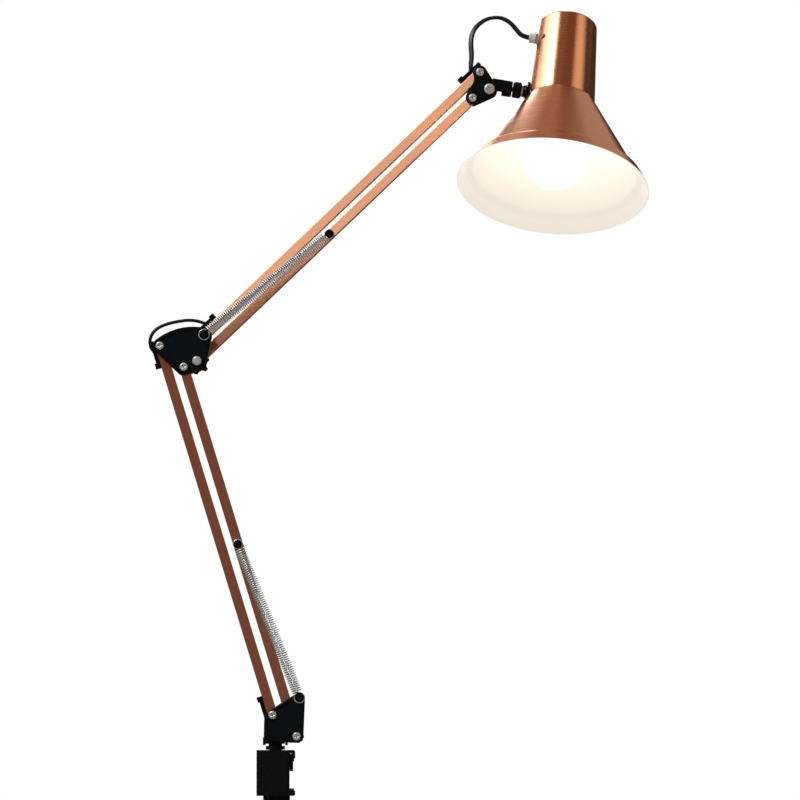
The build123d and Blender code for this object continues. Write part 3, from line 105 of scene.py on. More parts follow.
# Where the flex is cut, in shares of a loop, and the twists of its stretches in degrees
ELBOW_CUT = 0.53
HEAD_CUTS = (0.34, 0.67)
LEAVE_TWISTS = (0.0, 0.0, 35.0, 65.0)
ARCH_TWISTS = (65.0, 50.0, 25.0)
ENTER_TWISTS = (25.0, 45.0, 60.0)

# Screw heads, panels and edges, in millimetres, the cross's turn in degrees, facing as a cosine;
# a cross has the reach and half width of its arms
SCREW_TOP = 9.5
SCREW_CROSS = (2.1, 0.45)
TILT_TOP = 11.1
TILT_CROSS = (2.8, 0.55)
CROSS_DEPTH = 0.9
CROSS_TURN = 20.0
PANEL_FACE = 7.4
PANEL_SLACK = 0.2
PANEL_FACING = 0.95
CLAMP_EDGE = 0.7

# Fineness of the meshes, and the angles in degrees from which an edge is sharp
CORNER_STEPS = 8
SHADE_ROUNDS = 160
BULB_ROUNDS = 96
GLOBE_STEPS = 24
NECK_STEPS = 12
RING_STEPS = 24
COIL_STEPS = 20
LEAD_STEPS = 8
WIRE_SIDES = 8
FLEX_SIDES = 20
FLEX_STEPS = 8
CLAMP_EDGE_STEPS = 2
LATHE_SHARP = 32
SCREW_SHARP = 30
FLEX_SHARP = 60
CLAMP_SHARP = 40

# Brush marks along and across, in waves in a metre, and the part of the noise that looks use
BAR_BRUSH = (6.0, 1600.0)
SHADE_BRUSH = (10.0, 4000.0)
BRUSH_DETAIL = 3.0
GRAIN_DETAIL = 4.0
NOISE_LOW = 0.3
NOISE_HIGH = 0.7
RELIEF = 0.35

# Camera, floor and room: places in metres, lens and sensor in millimetres, light as strengths
CAMERA_PLACE = (0.1142, -4.6, 0.03)
CAMERA_AIM = (0.114, -0.0365, 0.3288)
CAMERA_LENS = 224.0
CAMERA_SENSOR = 36.0
CAMERA_REACH = 60.0
FLOOR_LEVEL = -0.6
FLOOR_HALF = 30.0
FLOOR_GLOW = 1.13
FLOOR_GLOW_SHARE = 0.85
ROOM_LIGHT = 0.45
LIGHT_AIM = (0.2, 0.0, 0.5)

# Surroundings that only mirrors see: a dome in dim browns, in metres and degrees
SCREEN_RADIUS = 5.0
SCREEN_CENTRE = (0.1, 0.0, 0.35)
SCREEN_STEP = 2
SCREEN_TOP = 84
SCREEN_TONES = {
    "left": (0.19, 0.08, 0.042),
    "behind": (0.33, 0.18, 0.13),
    "front": (0.195, 0.115, 0.1),
    "right": (0.05, 0.03, 0.025),
    "patch": (0.52, 0.40, 0.34),
}

# Azimuth from the front to the right, height and tone; the first that fits counts, None is open
SCREEN_REGIONS = (
    ((-180, -160), (4, 45), None),
    ((-66, -40), (28, 60), None),
    ((126, 162), (26, 56), "patch"),
    ((130, 180), (28, 90), "behind"),
    ((-180, -130), (28, 90), "behind"),
    ((-75, 75), (-90, 30), "front"),
    ((75, 180), (-90, 90), "right"),
    ((-180, 180), (-90, 90), "left"),
)


def arm_point(place, towards=0.0):
    """A point of the arm's plane in metres, moved towards the near side by millimetres."""
    return Vector((place[0], ARM_Y - towards, place[1])) * MM


def new_material(name):
    material = bpy.data.materials.new(name)
    material.use_nodes = True
    tree = material.node_tree
    return material, tree, tree.nodes["Principled BSDF"]


def link(tree, source, target):
    tree.links.new(source, target)


def settle(node, values):
    """Sets plain values on a node's sockets."""
    for name, value in values.items():
        node.inputs[name].default_value = value


def vector_math(tree, operation, *values):
    """A vector calculation on sockets, which are linked, and plain values, which are set."""
    node = tree.nodes.new("ShaderNodeVectorMath")
    node.operation = operation
    for target, value in zip(node.inputs, values):
        if isinstance(value, bpy.types.NodeSocket):
            link(tree, value, target)
        else:
            target.default_value = value
    return node.outputs["Value" if operation == "DOT_PRODUCT" else "Vector"]


def piece_coordinates(tree):
    return tree.nodes.new("ShaderNodeTexCoord").outputs["Object"]


def noise_over(tree, place, detail):
    """Noise over coordinates that are scaled already."""
    noise = tree.nodes.new("ShaderNodeTexNoise")
    settle(noise, {"Scale": 1.0, "Detail": detail})
    link(tree, place, noise.inputs["Vector"])
    return noise.outputs["Fac"]


def grain(tree, waves, detail=GRAIN_DETAIL):
    """Noise over the piece's own coordinates, alike on each axis."""
    scale = tree.nodes.new("ShaderNodeMapping")
    scale.inputs["Scale"].default_value = (waves, waves, waves)
    link(tree, piece_coordinates(tree), scale.inputs["Vector"])
    return noise_over(tree, scale.outputs["Vector"], detail)


def straight_brush(tree, way):
    """Noise drawn out along one direction of the piece."""
    along, across = BAR_BRUSH
    side = AWAY.cross(way).normalized()
    place = piece_coordinates(tree)
    join = tree.nodes.new("ShaderNodeCombineXYZ")
    for index, axis in enumerate((way * along, side * across, AWAY * across)):
        link(tree, vector_math(tree, "DOT_PRODUCT", place, axis), join.inputs[index])
    return noise_over(tree, join.outputs["Vector"], BRUSH_DETAIL)


def round_brush(tree):
    """Noise drawn out round the shade's axis."""
    along, across = SHADE_BRUSH
    place = vector_math(tree, "SUBTRACT", piece_coordinates(tree), SHADE_CENTRE * MM)
    height = vector_math(tree, "DOT_PRODUCT", place, SHADE_WAY * across)
    stretched = vector_math(tree, "MULTIPLY_ADD", place, (along, along, along), height)
    return noise_over(tree, stretched, BRUSH_DETAIL)


def spread(tree, value, span, target):
    """Maps a noise value to a range on a socket."""
    ramp = tree.nodes.new("ShaderNodeMapRange")
    settle(ramp, {
        "From Min": NOISE_LOW, "From Max": NOISE_HIGH, "To Min": span[0], "To Max": span[1],
    })
    link(tree, value, ramp.inputs["Value"])
    link(tree, ramp.outputs["Result"], target)


def tint(tree, value, dark, light, target):
    """Mixes two colours by a noise value."""
    ramp = tree.nodes.new("ShaderNodeValToRGB")
    first, last = ramp.color_ramp.elements
    first.position = NOISE_LOW
    last.position = NOISE_HIGH
    first.color = (*dark, 1)
    last.color = (*light, 1)
    link(tree, value, ramp.inputs["Fac"])
    link(tree, ramp.outputs["Color"], target)


def relief(tree, value, height, shader):
    """Raises the surface a little where a noise value is high."""
    bump = tree.nodes.new("ShaderNodeBump")
    settle(bump, {"Strength": RELIEF, "Distance": height})
    link(tree, value, bump.inputs["Height"])
    link(tree, bump.outputs["Normal"], shader.inputs["Normal"])


def turn_with_piece(tree, shader, direction):
    """Gives the shader a direction for drawn-out highlights that turns with its piece."""
    turn = tree.nodes.new("ShaderNodeVectorTransform")
    turn.vector_type = "VECTOR"
    turn.convert_from = "OBJECT"
    turn.convert_to = "WORLD"
    turn.inputs["Vector"].default_value = direction
    link(tree, turn.outputs["Vector"], shader.inputs["Tangent"])


def bar_copper(name, way):
    """Copper plate brushed along a bar."""
    material, tree, shader = new_material(name)
    value = straight_brush(tree, way)
    settle(shader, {"Metallic": 1.0, "Anisotropic": 0.9})
    spread(tree, value, (0.43, 0.47), shader.inputs["Roughness"])
    tint(tree, value, (0.79, 0.42, 0.255), (0.85, 0.47, 0.295), shader.inputs["Base Color"])
    turn_with_piece(tree, shader, way.cross(AWAY) + AWAY)
    return material


def shade_copper():
    """Copper plate brushed round the shade's axis."""
    material, tree, shader = new_material("shade_copper")
    value = round_brush(tree)
    settle(shader, {"Metallic": 1.0, "Anisotropic": 0.8})
    spread(tree, value, (0.25, 0.28), shader.inputs["Roughness"])
    tint(tree, value, (0.82, 0.44, 0.265), (0.86, 0.47, 0.285), shader.inputs["Base Color"])
    turn_with_piece(tree, shader, SHADE_WAY)
    return material


def enamel():
    """Cream enamel with a painted glow: a weak emission that stands in for the lit bulb's light
    inside the shade.
    """
    material, tree, shader = new_material("cream_enamel_painted_glow")
    value = grain(tree, waves=25.0, detail=2.0)
    tint(tree, value, (0.765, 0.715, 0.65), (0.785, 0.735, 0.67), shader.inputs["Base Color"])
    # The emission is painted light: a glow standing in for the bulb's light that fills the shade
    settle(shader, {
        "Roughness": 0.4, "Emission Color": (1.0, 0.925, 0.83, 1), "Emission Strength": 0.265,
    })
    return material


def opal():
    """Opal glass with the lamp lit behind it."""
    material, tree, shader = new_material("opal_glass")
    value = grain(tree, waves=60.0)
    tint(tree, value, (0.95, 0.93, 0.88), (0.97, 0.95, 0.91), shader.inputs["Base Color"])
    settle(shader, {
        "Roughness": 0.15, "Emission Color": (1.0, 0.97, 0.93, 1), "Emission Strength": 1.05,
    })
    return material


def plastic(name, dark, light, roughness, gloss=0.5, waves=1400.0, height=0.00006):
    """Moulded or painted surface with a fine grain."""
    material, tree, shader = new_material(name)
    value = grain(tree, waves)
    tint(tree, value, dark, light, shader.inputs["Base Color"])
    spread(tree, value, roughness, shader.inputs["Roughness"])
    settle(shader, {"Specular IOR Level": gloss})
    relief(tree, value, height, shader)
    return material


def plated(name, dark, light, roughness, waves=900.0, metal=1.0):
    """Bright plated metal with a faint cloudiness."""
    material, tree, shader = new_material(name)
    value = grain(tree, waves)
    settle(shader, {"Metallic": metal})
    tint(tree, value, dark, light, shader.inputs["Base Color"])
    spread(tree, value, roughness, shader.inputs["Roughness"])
    return material


LOWER_COPPER = bar_copper("copper_lower_bars", LOWER_WAY)
UPPER_COPPER = bar_copper("copper_upper_bars", UPPER_WAY)
SHADE_COPPER = shade_copper()
ENAMEL_PAINTED_GLOW = enamel()
OPAL = opal()
BLACK = plastic(
    "black_plastic", dark=(0.0012, 0.0022, 0.003), light=(0.003, 0.0045, 0.0055),
    roughness=(0.24, 0.34), gloss=0.12,
)
PANEL = plastic(
    "black_panel", dark=(0.001, 0.0035, 0.005), light=(0.002, 0.005, 0.0065),
    roughness=(0.45, 0.55), gloss=0.1,
)
PAINT = plastic(
    "clamp_paint", dark=(0.0015, 0.003, 0.0036), light=(0.004, 0.006, 0.007),
    roughness=(0.26, 0.36), gloss=0.14, waves=900.0, height=0.0001,
)
RUBBER = plastic(
    "pad_rubber", dark=(0.008, 0.008, 0.008), light=(0.014, 0.014, 0.014), roughness=(0.6, 0.75),
)
FLEX = plastic(
    "flex_sheath", dark=(0.004, 0.0045, 0.005), light=(0.008, 0.0085, 0.009),
    roughness=(0.32, 0.42), gloss=0.35, waves=500.0,
)
GREY = plastic(
    "grey_gland", dark=(0.46, 0.47, 0.48), light=(0.56, 0.57, 0.58), roughness=(0.25, 0.4),
)
WHITE = plastic(
    "white_holder", dark=(0.74, 0.73, 0.69), light=(0.82, 0.81, 0.77), roughness=(0.25, 0.4),
)
ZINC = plated(
    "zinc_plate", dark=(0.46, 0.48, 0.49), light=(0.58, 0.60, 0.61), roughness=(0.24, 0.36),
    metal=0.55,
)
BRONZE = plated(
    "bronzed_screw", dark=(0.28, 0.14, 0.08), light=(0.40, 0.21, 0.12), roughness=(0.28, 0.4),
)
CHROME = plated(
    "chrome_plate", dark=(0.68, 0.68, 0.69), light=(0.76, 0.76, 0.77), roughness=(0.08, 0.16),
)
SPRING = plated(
    "spring_wire", dark=(0.47, 0.52, 0.53), light=(0.59, 0.64, 0.65), roughness=(0.12, 0.2),
    waves=1500.0, metal=0.6,
)
BRASS = plated(
    "brass", dark=(0.62, 0.45, 0.18), light=(0.74, 0.57, 0.27), roughness=(0.2, 0.34),
)
BRIGHT = plated(
    "aluminium", dark=(0.70, 0.70, 0.71), light=(0.80, 0.80, 0.81), roughness=(0.22, 0.36),
)

LOOKS = {
    BLACK: """spigot base_plate_near base_plate_far base_knob lower_spring_stud lower_clip_base
        lower_clip_elbow elbow_plate_near elbow_plate_far elbow_knob upper_spring_stud
        upper_clip_elbow upper_clip_head head_plate_near head_plate_far knuckle stem_collar
        shade_foot clamp_knob lock_screw spigot_pin""",
    PAINT: "clamp_frame",
    RUBBER: "clamp_pad",
    FLEX: "flex_lower_run flex_upper_run flex_elbow_loop flex_head_loop",
    GREY: "cable_gland",
    WHITE: "lamp_holder",
    ZINC: """clamp_screw base_bushes base_screw base_bolt base_nut elbow_bushes elbow_screws
        elbow_nuts elbow_bolt elbow_peg_screw head_bushes head_screws head_nuts tilt_screw
        tilt_nut holder_bracket holder_nut swivel_bolt""",
    BRONZE: "grip_screw",
    CHROME: "stem_washer",
    SPRING: "lower_spring upper_spring",
    BRASS: "holder_shell holder_contact",
    BRIGHT: "bulb_cap",
    LOWER_COPPER: "lower_outer_bar lower_inner_bar",
    UPPER_COPPER: "upper_outer_bar upper_inner_bar",
    SHADE_COPPER: "shade",
    OPAL: "bulb_glass",
}
for look, names in LOOKS.items():
    for name in names.split():
        nodes[name].data.materials.clear()
        nodes[name].data.materials.append(look)


def mesh_piece(name, points, faces, materials, smooth=True):
    mesh = bpy.data.meshes.new(name)
    mesh.from_pydata(points, [], faces)
    for material in materials:
        mesh.materials.append(material)
    if smooth:
        mesh.polygons.foreach_set("use_smooth", [True] * len(mesh.polygons))
    mesh.update()
    piece = bpy.data.objects.new(name, mesh)
    scene.collection.objects.link(piece)
    return piece


def way_at(line, index):
    """Direction of a line at one of its points."""
    before = line[max(index - 1, 0)]
    after = line[min(index + 1, len(line) - 1)]
    return (after - before).normalized()


def hermite(first, first_way, last, last_way, steps):
    """Points between two ends, leaving and arriving in given directions."""
    reach = (last - first).length
    points = []
    for step in range(1, steps):
        share = step / steps
        h00 = 2 * share**3 - 3 * share**2 + 1
        h10 = share**3 - 2 * share**2 + share
        h01 = 3 * share**2 - 2 * share**3
        h11 = share**3 - share**2
        points.append(
            first * h00 + first_way * (reach * h10) + last * h01 + last_way * (reach * h11)
        )
    return points


def rounded(points):
    """A line through corners given as (x, y, round), with an arc in place of each corner."""
    line = []
    for index, corner in enumerate(points):
        here = Vector(corner[:2])
        if len(corner) == 2:
            line.append(here)
            continue
        radius = corner[2]
        back = (Vector(points[index - 1][:2]) - here).normalized()
        ahead = (Vector(points[index + 1][:2]) - here).normalized()
        half = math.acos(max(-1.0, min(1.0, back.dot(ahead)))) / 2
        reach = radius / math.tan(half)
        centre = here + (back + ahead).normalized() * (radius / math.sin(half))
        first = here + back * reach - centre
        last = here + ahead * reach - centre
        across = Vector((-first.y, first.x))
        turn = math.atan2(first.x * last.y - first.y * last.x, first.dot(last))
        for step in range(CORNER_STEPS + 1):
            angle = turn * step / CORNER_STEPS
            line.append(centre + first * math.cos(angle) + across * math.sin(angle))
    return line


def inset(line, amount):
    """The same line moved to its right by a wall's thickness."""
    moved = []
    for index, point in enumerate(line):
        way = way_at(line, index)
        moved.append(point + Vector((way.y, -way.x)) * amount)
    return moved


def shade_frame():
    """The shade's own axes: right, away and up along its axis."""
    up = SHADE_WAY
    right = (SHADE_RIGHT - up * SHADE_RIGHT.dot(up)).normalized()
    away = up.cross(right)
    place = Matrix((right, away, up)).transposed().to_4x4()
    place.translation = SHADE_CENTRE * MM
    return place


def lathe(name, profile, split, materials, body, rounds):
    """A turned piece on the shade's axis; faces from the split row on take the second material."""
    place = shade_frame()
    points = []
    rings = []
    for radius, height in profile:
        first = len(points)
        count = rounds if radius > 0 else 1
        rings.append(range(first, first + count))
        for step in range(count):
            angle = 2 * math.pi * step / rounds
            spot = Vector((radius * math.cos(angle), radius * math.sin(angle), height))
            points.append(place @ (spot * MM))
    faces = []
    looks = []
    for row, (low, high) in enumerate(zip(rings, rings[1:])):
        for step in range(rounds):
            after = (step + 1) % rounds
            if len(low) == 1:
                faces.append((low[0], high[step], high[after]))
            elif len(high) == 1:
                faces.append((low[step], high[0], low[after]))
            else:
                faces.append((low[step], high[step], high[after], low[after]))
            looks.append(1 if row >= split else 0)
    piece = mesh_piece(name, points, faces, materials)
    piece.data.polygons.foreach_set("material_index", looks)
    piece.data.set_sharp_from_angle(angle=math.radians(LATHE_SHARP))
    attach(piece, body)
    return piece


def cross_cutter(spots, top, arm, half):
    """Cross-shaped blocks that reach into screw heads from before the arm's plane."""
    outline = [
        (arm, -half), (arm, half), (half, half), (half, arm), (-half, arm), (-half, half),
        (-arm, half), (-arm, -half), (-half, -half), (-half, -arm), (half, -arm), (half, -half),
    ]
    count = len(outline)
    turn = math.radians(CROSS_TURN)
    points = []
    faces = []
    for spot in spots:
        first = len(points)
        for towards in (top - CROSS_DEPTH, top + CROSS_DEPTH):
            for x, z in outline:
                along = x * math.cos(turn) - z * math.sin(turn)
                above = x * math.sin(turn) + z * math.cos(turn)
                points.append(arm_point((spot[0] + along, spot[1] + above), towards))
        for step in range(count):
            low = first + step
            after = first + (step + 1) % count
            faces.append((low, after, after + count, low + count))
        faces.append(tuple(reversed(range(first, first + count))))
        faces.append(tuple(range(first + count, first + 2 * count)))
    return mesh_piece("cutter", points, faces, (), False)


def cross_recess(name, body, spots, top, arm, half):
    """A copy of a screw piece with a cross cut into each of its heads."""
    cutter = cross_cutter(spots, top, arm, half)
    blank = bpy.data.objects.new("blank", nodes[name].data.copy())
    scene.collection.objects.link(blank)
    cut = blank.modifiers.new("cross", "BOOLEAN")
    cut.object = cutter
    cut.operation = "DIFFERENCE"
    cut.solver = "EXACT"
    result = blank.evaluated_get(bpy.context.evaluated_depsgraph_get())
    mesh = bpy.data.meshes.new_from_object(result)
    mesh.set_sharp_from_angle(angle=math.radians(SCREW_SHARP))
    bpy.data.objects.remove(blank)
    bpy.data.objects.remove(cutter)
    piece = bpy.data.objects.new(name + "_crossed", mesh)
    scene.collection.objects.link(piece)
    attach(piece, body)
    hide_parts(name)


# Screws: cross recesses in the heads
for name, body, spots in (
    ("base_screw", "base", [BASE_OUTER]),
    ("base_bolt", "base", [BASE_INNER]),
    ("elbow_screws", "elbow", [ELBOW_OUTER, ELBOW_INNER]),
    ("head_screws", "head", [HEAD_OUTER, HEAD_INNER]),
):
    cross_recess(name, body, spots, SCREW_TOP, *SCREW_CROSS)
cross_recess("tilt_screw", "head", [TILT], TILT_TOP, *TILT_CROSS)

# Brackets: duller panels sunk in the near plates
for name in ("base_plate_near", "elbow_plate_near", "head_plate_near"):
    mesh = nodes[name].data
    mesh.materials.append(PANEL)
    for face in mesh.polygons:
        depth = ARM_Y - face.center.y / MM
        if abs(face.normal.y) > PANEL_FACING and abs(depth - PANEL_FACE) < PANEL_SLACK:
            face.material_index = 1

# Clamp: edges broken so that they catch the light
edges = nodes["clamp_frame"].modifiers.new("edges", "BEVEL")
edges.width = CLAMP_EDGE * MM
edges.segments = CLAMP_EDGE_STEPS
edges.limit_method = "ANGLE"
edges.angle_limit = math.radians(CLAMP_SHARP)

# Shade: brushed copper outside, cream enamel inside with a painted glow that stands in for the
# bulb's light
skin = rounded([(0, SHADE_CORNERS[0][1]), *SHADE_CORNERS, SHADE_RIM])
lining = inset(skin, SHADE_WALL)
lining[0] = Vector((0, lining[0].y))
shell = [*skin, *reversed(lining)]
shade = lathe(
    "shade_shell", shell, len(skin) - 1, (SHADE_COPPER, ENAMEL_PAINTED_GLOW), "shade", SHADE_ROUNDS,
)
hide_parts("shade")

# Bulb: opal globe from its lowest point to the shoulder, then the neck
globe = [Vector((0, BULB_CENTRE - BULB_RADIUS))]
for step in range(1, GLOBE_STEPS + 1):
    angle = math.radians(-90 + (90 + BULB_SHOULDER) * step / GLOBE_STEPS)
    across = BULB_RADIUS * math.cos(angle)
    globe.append(Vector((across, BULB_CENTRE + BULB_RADIUS * math.sin(angle))))
shoulder_turn = math.radians(BULB_SHOULDER)
slope = Vector((-math.sin(shoulder_turn), math.cos(shoulder_turn)))
neck = Vector(BULB_NECK)
globe += hermite(globe[-1], slope, neck, Vector((0, 1)), NECK_STEPS)
globe.append(neck)
bulb = lathe("bulb_globe", globe, len(globe), (OPAL, OPAL), "shade", BULB_ROUNDS)
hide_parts("bulb_glass")


def tube(name, path, material, half_width, half_thick, across_of, sides):
    """A mesh drawn along points, with a round or flat section and closed ends."""
    points = []
    for index, place in enumerate(path):
        way = way_at(path, index)
        across = across_of(index, way)
        thick = way.cross(across).normalized()
        for side in range(sides):
            angle = 2 * math.pi * (side + 0.5) / sides
            swing = math.cos(angle) * half_thick
            swing += math.copysign(half_width - half_thick, math.cos(angle))
            points.append(place + across * swing + thick * (math.sin(angle) * half_thick))
    last = (len(path) - 1) * sides
    faces = []
    for low in range(0, last, sides):
        high = low + sides
        for side in range(sides):
            after = (side + 1) % sides
            faces.append((low + side, low + after, high + after, high + side))
    faces.append(tuple(reversed(range(sides))))
    faces.append(tuple(range(last, last + sides)))
    return mesh_piece(name, points, faces, (material,))


def balance_spring(name, node, peg, stud):
    """A pull spring: ring on its peg, close coils, hook on its stud."""
    start = arm_point(peg, SPRING_OFFSET)
    finish = arm_point(stud, SPRING_OFFSET)
    along = (finish - start).normalized()
    near = -AWAY
    across = near.cross(along)
    coil_start = (RING_RADIUS + COIL_LEAD) * MM
    coil_end = (finish - start).length - (HOOK_RADIUS + COIL_LEAD) * MM
    pitch = (coil_end - coil_start) / SPRING_TURNS

    def coil(turns):
        angle = 2 * math.pi * turns - math.pi / 2
        middle = start + along * (coil_start + pitch * turns)
        around = across * math.cos(angle) + near * math.sin(angle)
        return middle + around * (SPRING_RADIUS * MM)

    def coil_way(turns):
        angle = 2 * math.pi * turns - math.pi / 2
        sway = near * math.cos(angle) - across * math.sin(angle)
        return (sway * (2 * math.pi * SPRING_RADIUS * MM) + along * pitch).normalized()

    def ring(centre, ahead, side, radius):
        points = []
        for step in range(RING_STEPS + 1):
            turn = math.radians(HOOK_OPENING + (360 - 2 * HOOK_OPENING) * step / RING_STEPS)
            around = ahead * math.cos(turn) + side * math.sin(turn)
            points.append(centre + around * (radius * MM))
        return points

    ring_line = ring(start, along, across, RING_RADIUS)
    hook_line = list(reversed(ring(finish, -along, -across, HOOK_RADIUS)))
    ring_way = (ring_line[-1] - ring_line[-2]).normalized()
    hook_way = (hook_line[1] - hook_line[0]).normalized()
    coils = [coil(step / COIL_STEPS) for step in range(SPRING_TURNS * COIL_STEPS + 1)]
    path = [*ring_line]
    path += hermite(ring_line[-1], ring_way, coils[0], coil_way(0), LEAD_STEPS)
    path += coils
    path += hermite(coils[-1], coil_way(SPRING_TURNS), hook_line[0], hook_way, LEAD_STEPS)
    path += hook_line
    wire_sides = []
    wire_side = near
    for index in range(len(path)):
        way = way_at(path, index)
        wire_side = (wire_side - way * wire_side.dot(way)).normalized()
        wire_sides.append(wire_side)
    half = SPRING_WIRE * MM / 2
    piece = tube(name, path, SPRING, half, half, lambda index, way: wire_sides[index], WIRE_SIDES)
    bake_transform(piece)
    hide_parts(node)


def bar_spot(start, way, place):
    """A spot of the arm's plane on a bar, at a distance from its start."""
    return (start[0] + way.x * place, start[1] + way.z * place)


balance_spring(
    "lower_balance_spring", "lower_spring", BASE_PEG,
    bar_spot(BASE_INNER, LOWER_WAY, LOWER_STUD_PLACE),
)
balance_spring(
    "upper_balance_spring", "upper_spring", ELBOW_PEG,
    bar_spot(ELBOW_BOLT, UPPER_WAY, UPPER_STUD_PLACE),
)


def spline_points(name, route):
    """Points along a smooth curve through a route, in metres."""
    curve = bpy.data.curves.new(name, "CURVE")
    curve.dimensions = "3D"
    curve.resolution_u = FLEX_STEPS
    spline = curve.splines.new("NURBS")
    spline.points.add(len(route) - 1)
    for point, place in zip(spline.points, route):
        point.co = (*(Vector(place) * MM), 1.0)
    spline.order_u = 3
    spline.use_endpoint_u = True
    holder = bpy.data.objects.new(name, curve)
    scene.collection.objects.link(holder)
    line = bpy.data.meshes.new_from_object(holder)
    points = [vertex.co.copy() for vertex in line.vertices]
    bpy.data.objects.remove(holder)
    bpy.data.curves.remove(curve)
    bpy.data.meshes.remove(line)
    return points


def flex_cord(name, node, path, twists=(0.0, 0.0)):
    """One stretch of the flat flex, twisting along its way."""
    def across_of(index, way):
        across = (AWAY - way * AWAY.dot(way)).normalized()
        place = index / (len(path) - 1) * (len(twists) - 1)
        stretch = min(int(place), len(twists) - 2)
        twist = twists[stretch] + (twists[stretch + 1] - twists[stretch]) * (place - stretch)
        return Matrix.Rotation(math.radians(twist), 3, way) @ across

    half_width = FLEX_WIDTH * MM / 2
    half_thick = FLEX_THICK * MM / 2
    piece = tube(name, path, FLEX, half_width, half_thick, across_of, FLEX_SIDES)
    piece.data.set_sharp_from_angle(angle=math.radians(FLEX_SHARP))
    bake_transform(piece)
    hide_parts(node)


def cut_at(path, *shares):
    """Splits a path at shares of its length; neighbours keep the shared point."""
    walked = [0.0]
    for first, second in zip(path, path[1:]):
        walked.append(walked[-1] + (second - first).length)
    ends = [0]
    for share in shares:
        mark = share * walked[-1]
        ends.append(min(range(len(path)), key=lambda index: abs(walked[index] - mark)))
    ends.append(len(path) - 1)
    return [path[first : last + 1] for first, last in zip(ends, ends[1:])]


# Flex: two stretches round the elbow, three from the arm to the shade
elbow_path = spline_points("elbow_route", [(x, ARM_Y, z) for x, z in ELBOW_ROUTE])
rising, falling = cut_at(elbow_path, ELBOW_CUT)
flex_cord(
    "flex_elbow_rise", "flex_elbow_loop", rising,
)
flex_cord(
    "flex_elbow_fall", "flex_elbow_loop", falling,
)
head_path = spline_points("head_route", HEAD_ROUTE)
leaving, arching, entering = cut_at(head_path, *HEAD_CUTS)
flex_cord(
    "flex_head_leave", "flex_head_loop", leaving,
    LEAVE_TWISTS,
)
flex_cord(
    "flex_head_arch", "flex_head_loop", arching,
    ARCH_TWISTS,
)
flex_cord(
    "flex_head_enter", "flex_head_loop", entering,
    ENTER_TWISTS,
)


def point_at(thing, place, aim):
    """Puts a camera or light into the scene, turned to a point."""
    thing.location = place
    way = Vector(aim) - Vector(place)
    thing.rotation_euler = way.to_track_quat("-Z", "Y").to_euler()
    scene.collection.objects.link(thing)


# Camera
camera_data = bpy.data.cameras.new("camera")
camera_data.lens = CAMERA_LENS
camera_data.sensor_width = CAMERA_SENSOR
camera_data.clip_end = CAMERA_REACH
camera = bpy.data.objects.new("camera", camera_data)
point_at(camera, CAMERA_PLACE, CAMERA_AIM)
scene.camera = camera


def seen_directly(tree):
    """One for camera, mirror and transmission rays, nothing for light that falls on the lamp."""
    path = tree.nodes.new("ShaderNodeLightPath")
    value = path.outputs["Is Camera Ray"]
    for other in ("Is Glossy Ray", "Is Transmission Ray"):
        most = tree.nodes.new("ShaderNodeMath")
        most.operation = "MAXIMUM"
        link(tree, value, most.inputs[0])
        link(tree, path.outputs[other], most.inputs[1])
        value = most.outputs["Value"]
    return value


def mix_looks(tree, share, first, second, output):
    """Shows the first look, and the second by a share."""
    mix = tree.nodes.new("ShaderNodeMixShader")
    link(tree, share, mix.inputs["Fac"])
    link(tree, first, mix.inputs[1])
    link(tree, second, mix.inputs[2])
    link(tree, mix.outputs["Shader"], tree.nodes[output].inputs["Surface"])


# Floor: pale, and nearly white where it is seen itself
floor_look, floor_tree, floor_shader = new_material("pale_floor")
settle(floor_shader, {"Base Color": (0.86, 0.86, 0.86, 1), "Roughness": 0.8})
floor_glow = floor_tree.nodes.new("ShaderNodeEmission")
settle(floor_glow, {"Color": (1, 1, 1, 1), "Strength": FLOOR_GLOW})
floor_share = floor_tree.nodes.new("ShaderNodeMath")
floor_share.operation = "MULTIPLY"
floor_share.inputs[1].default_value = FLOOR_GLOW_SHARE
link(floor_tree, seen_directly(floor_tree), floor_share.inputs[0])
mix_looks(
    floor_tree, floor_share.outputs["Value"], floor_shader.outputs["BSDF"],
    floor_glow.outputs["Emission"], "Material Output",
)
floor_corners = [
    (x * FLOOR_HALF, y * FLOOR_HALF, FLOOR_LEVEL) for x, y in ((-1, -1), (1, -1), (1, 1), (-1, 1))
]
floor = mesh_piece("floor", floor_corners, [(0, 1, 2, 3)], (floor_look,), False)
floor.visible_glossy = False

# Room: white where it is seen, dimmer as a light
world = bpy.data.worlds.new("studio")
scene.world = world
world.use_nodes = True
room_tree = world.node_tree
soft = room_tree.nodes["Background"]
settle(soft, {"Color": (1, 1, 1, 1), "Strength": ROOM_LIGHT})
plain = room_tree.nodes.new("ShaderNodeBackground")
settle(plain, {"Color": (1, 1, 1, 1), "Strength": 1.0})
mix_looks(
    room_tree, seen_directly(room_tree), soft.outputs["Background"],
    plain.outputs["Background"], "World Output",
)


def soft_light(name, place, aim, size, power, colour=(1.0, 1.0, 1.0)):
    """An area light that the camera doesn't see, its power in watts."""
    light = bpy.data.lights.new(name, "AREA")
    light.shape = "RECTANGLE"
    light.size, light.size_y = size
    light.energy = power
    light.color = colour
    lamp = bpy.data.objects.new(name, light)
    point_at(lamp, place, aim)
    lamp.visible_camera = False


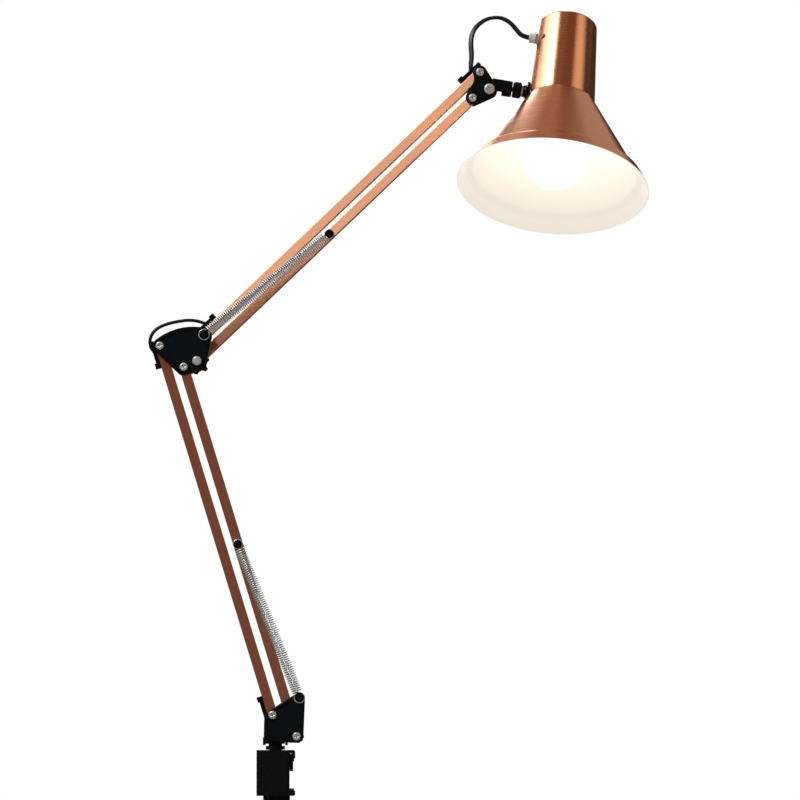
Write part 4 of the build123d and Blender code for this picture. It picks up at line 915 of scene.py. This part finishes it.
soft_light("key", place=(-1.6, 0.0, 2.1), aim=LIGHT_AIM, size=(2.1, 1.6), power=22)
soft_light("front", place=(-1.4, -1.1, 2.3), aim=(0.1, 0, 0.45), size=(1.0, 1.2), power=46)
soft_light(
    "fill", place=(1.95, -0.45, 2.05), aim=LIGHT_AIM, size=(1.1, 1.4), power=4.5,
    colour=(1.0, 0.77, 0.58),
)
soft_light("rim", place=(-0.2, 2.3, 1.55), aim=LIGHT_AIM, size=(1.3, 1.2), power=30)


def screen_tone(azimuth, height):
    """Name of the tone that stands in a direction, None where the dome is open."""
    for (left, right), (low, high), tone in SCREEN_REGIONS:
        if left < azimuth < right and low < height < high:
            return tone
    return None


def screen_point(azimuth, height):
    across = math.radians(azimuth)
    above = math.radians(height)
    level = math.cos(above)
    way = Vector((math.sin(across) * level, -math.cos(across) * level, math.sin(above)))
    return way * SCREEN_RADIUS


# Surroundings
screen_points = []
screen_faces = []
screen_tones = []
tone_names = list(SCREEN_TONES)
for azimuth in range(-180, 180, SCREEN_STEP):
    for height in range(-SCREEN_TOP, SCREEN_TOP, SCREEN_STEP):
        tone = screen_tone(azimuth + SCREEN_STEP / 2, height + SCREEN_STEP / 2)
        if tone is None:
            continue
        first = len(screen_points)
        for turn, lift in ((0, 0), (1, 0), (1, 1), (0, 1)):
            screen_points.append(
                screen_point(azimuth + turn * SCREEN_STEP, height + lift * SCREEN_STEP)
            )
        screen_faces.append((first, first + 1, first + 2, first + 3))
        screen_tones.append(tone_names.index(tone))
screen_looks = []
for tone in SCREEN_TONES.values():
    look, _, shader = new_material("surroundings")
    settle(shader, {
        "Base Color": (0, 0, 0, 1), "Emission Color": (*tone, 1), "Emission Strength": 1.0,
    })
    screen_looks.append(look)
screen = mesh_piece("screen", screen_points, screen_faces, screen_looks, False)
screen.data.polygons.foreach_set("material_index", screen_tones)
screen.location = SCREEN_CENTRE
screen.visible_camera = False
screen.visible_diffuse = False
screen.visible_transmission = False
screen.visible_shadow = False

scene.view_settings.view_transform = "Standard"
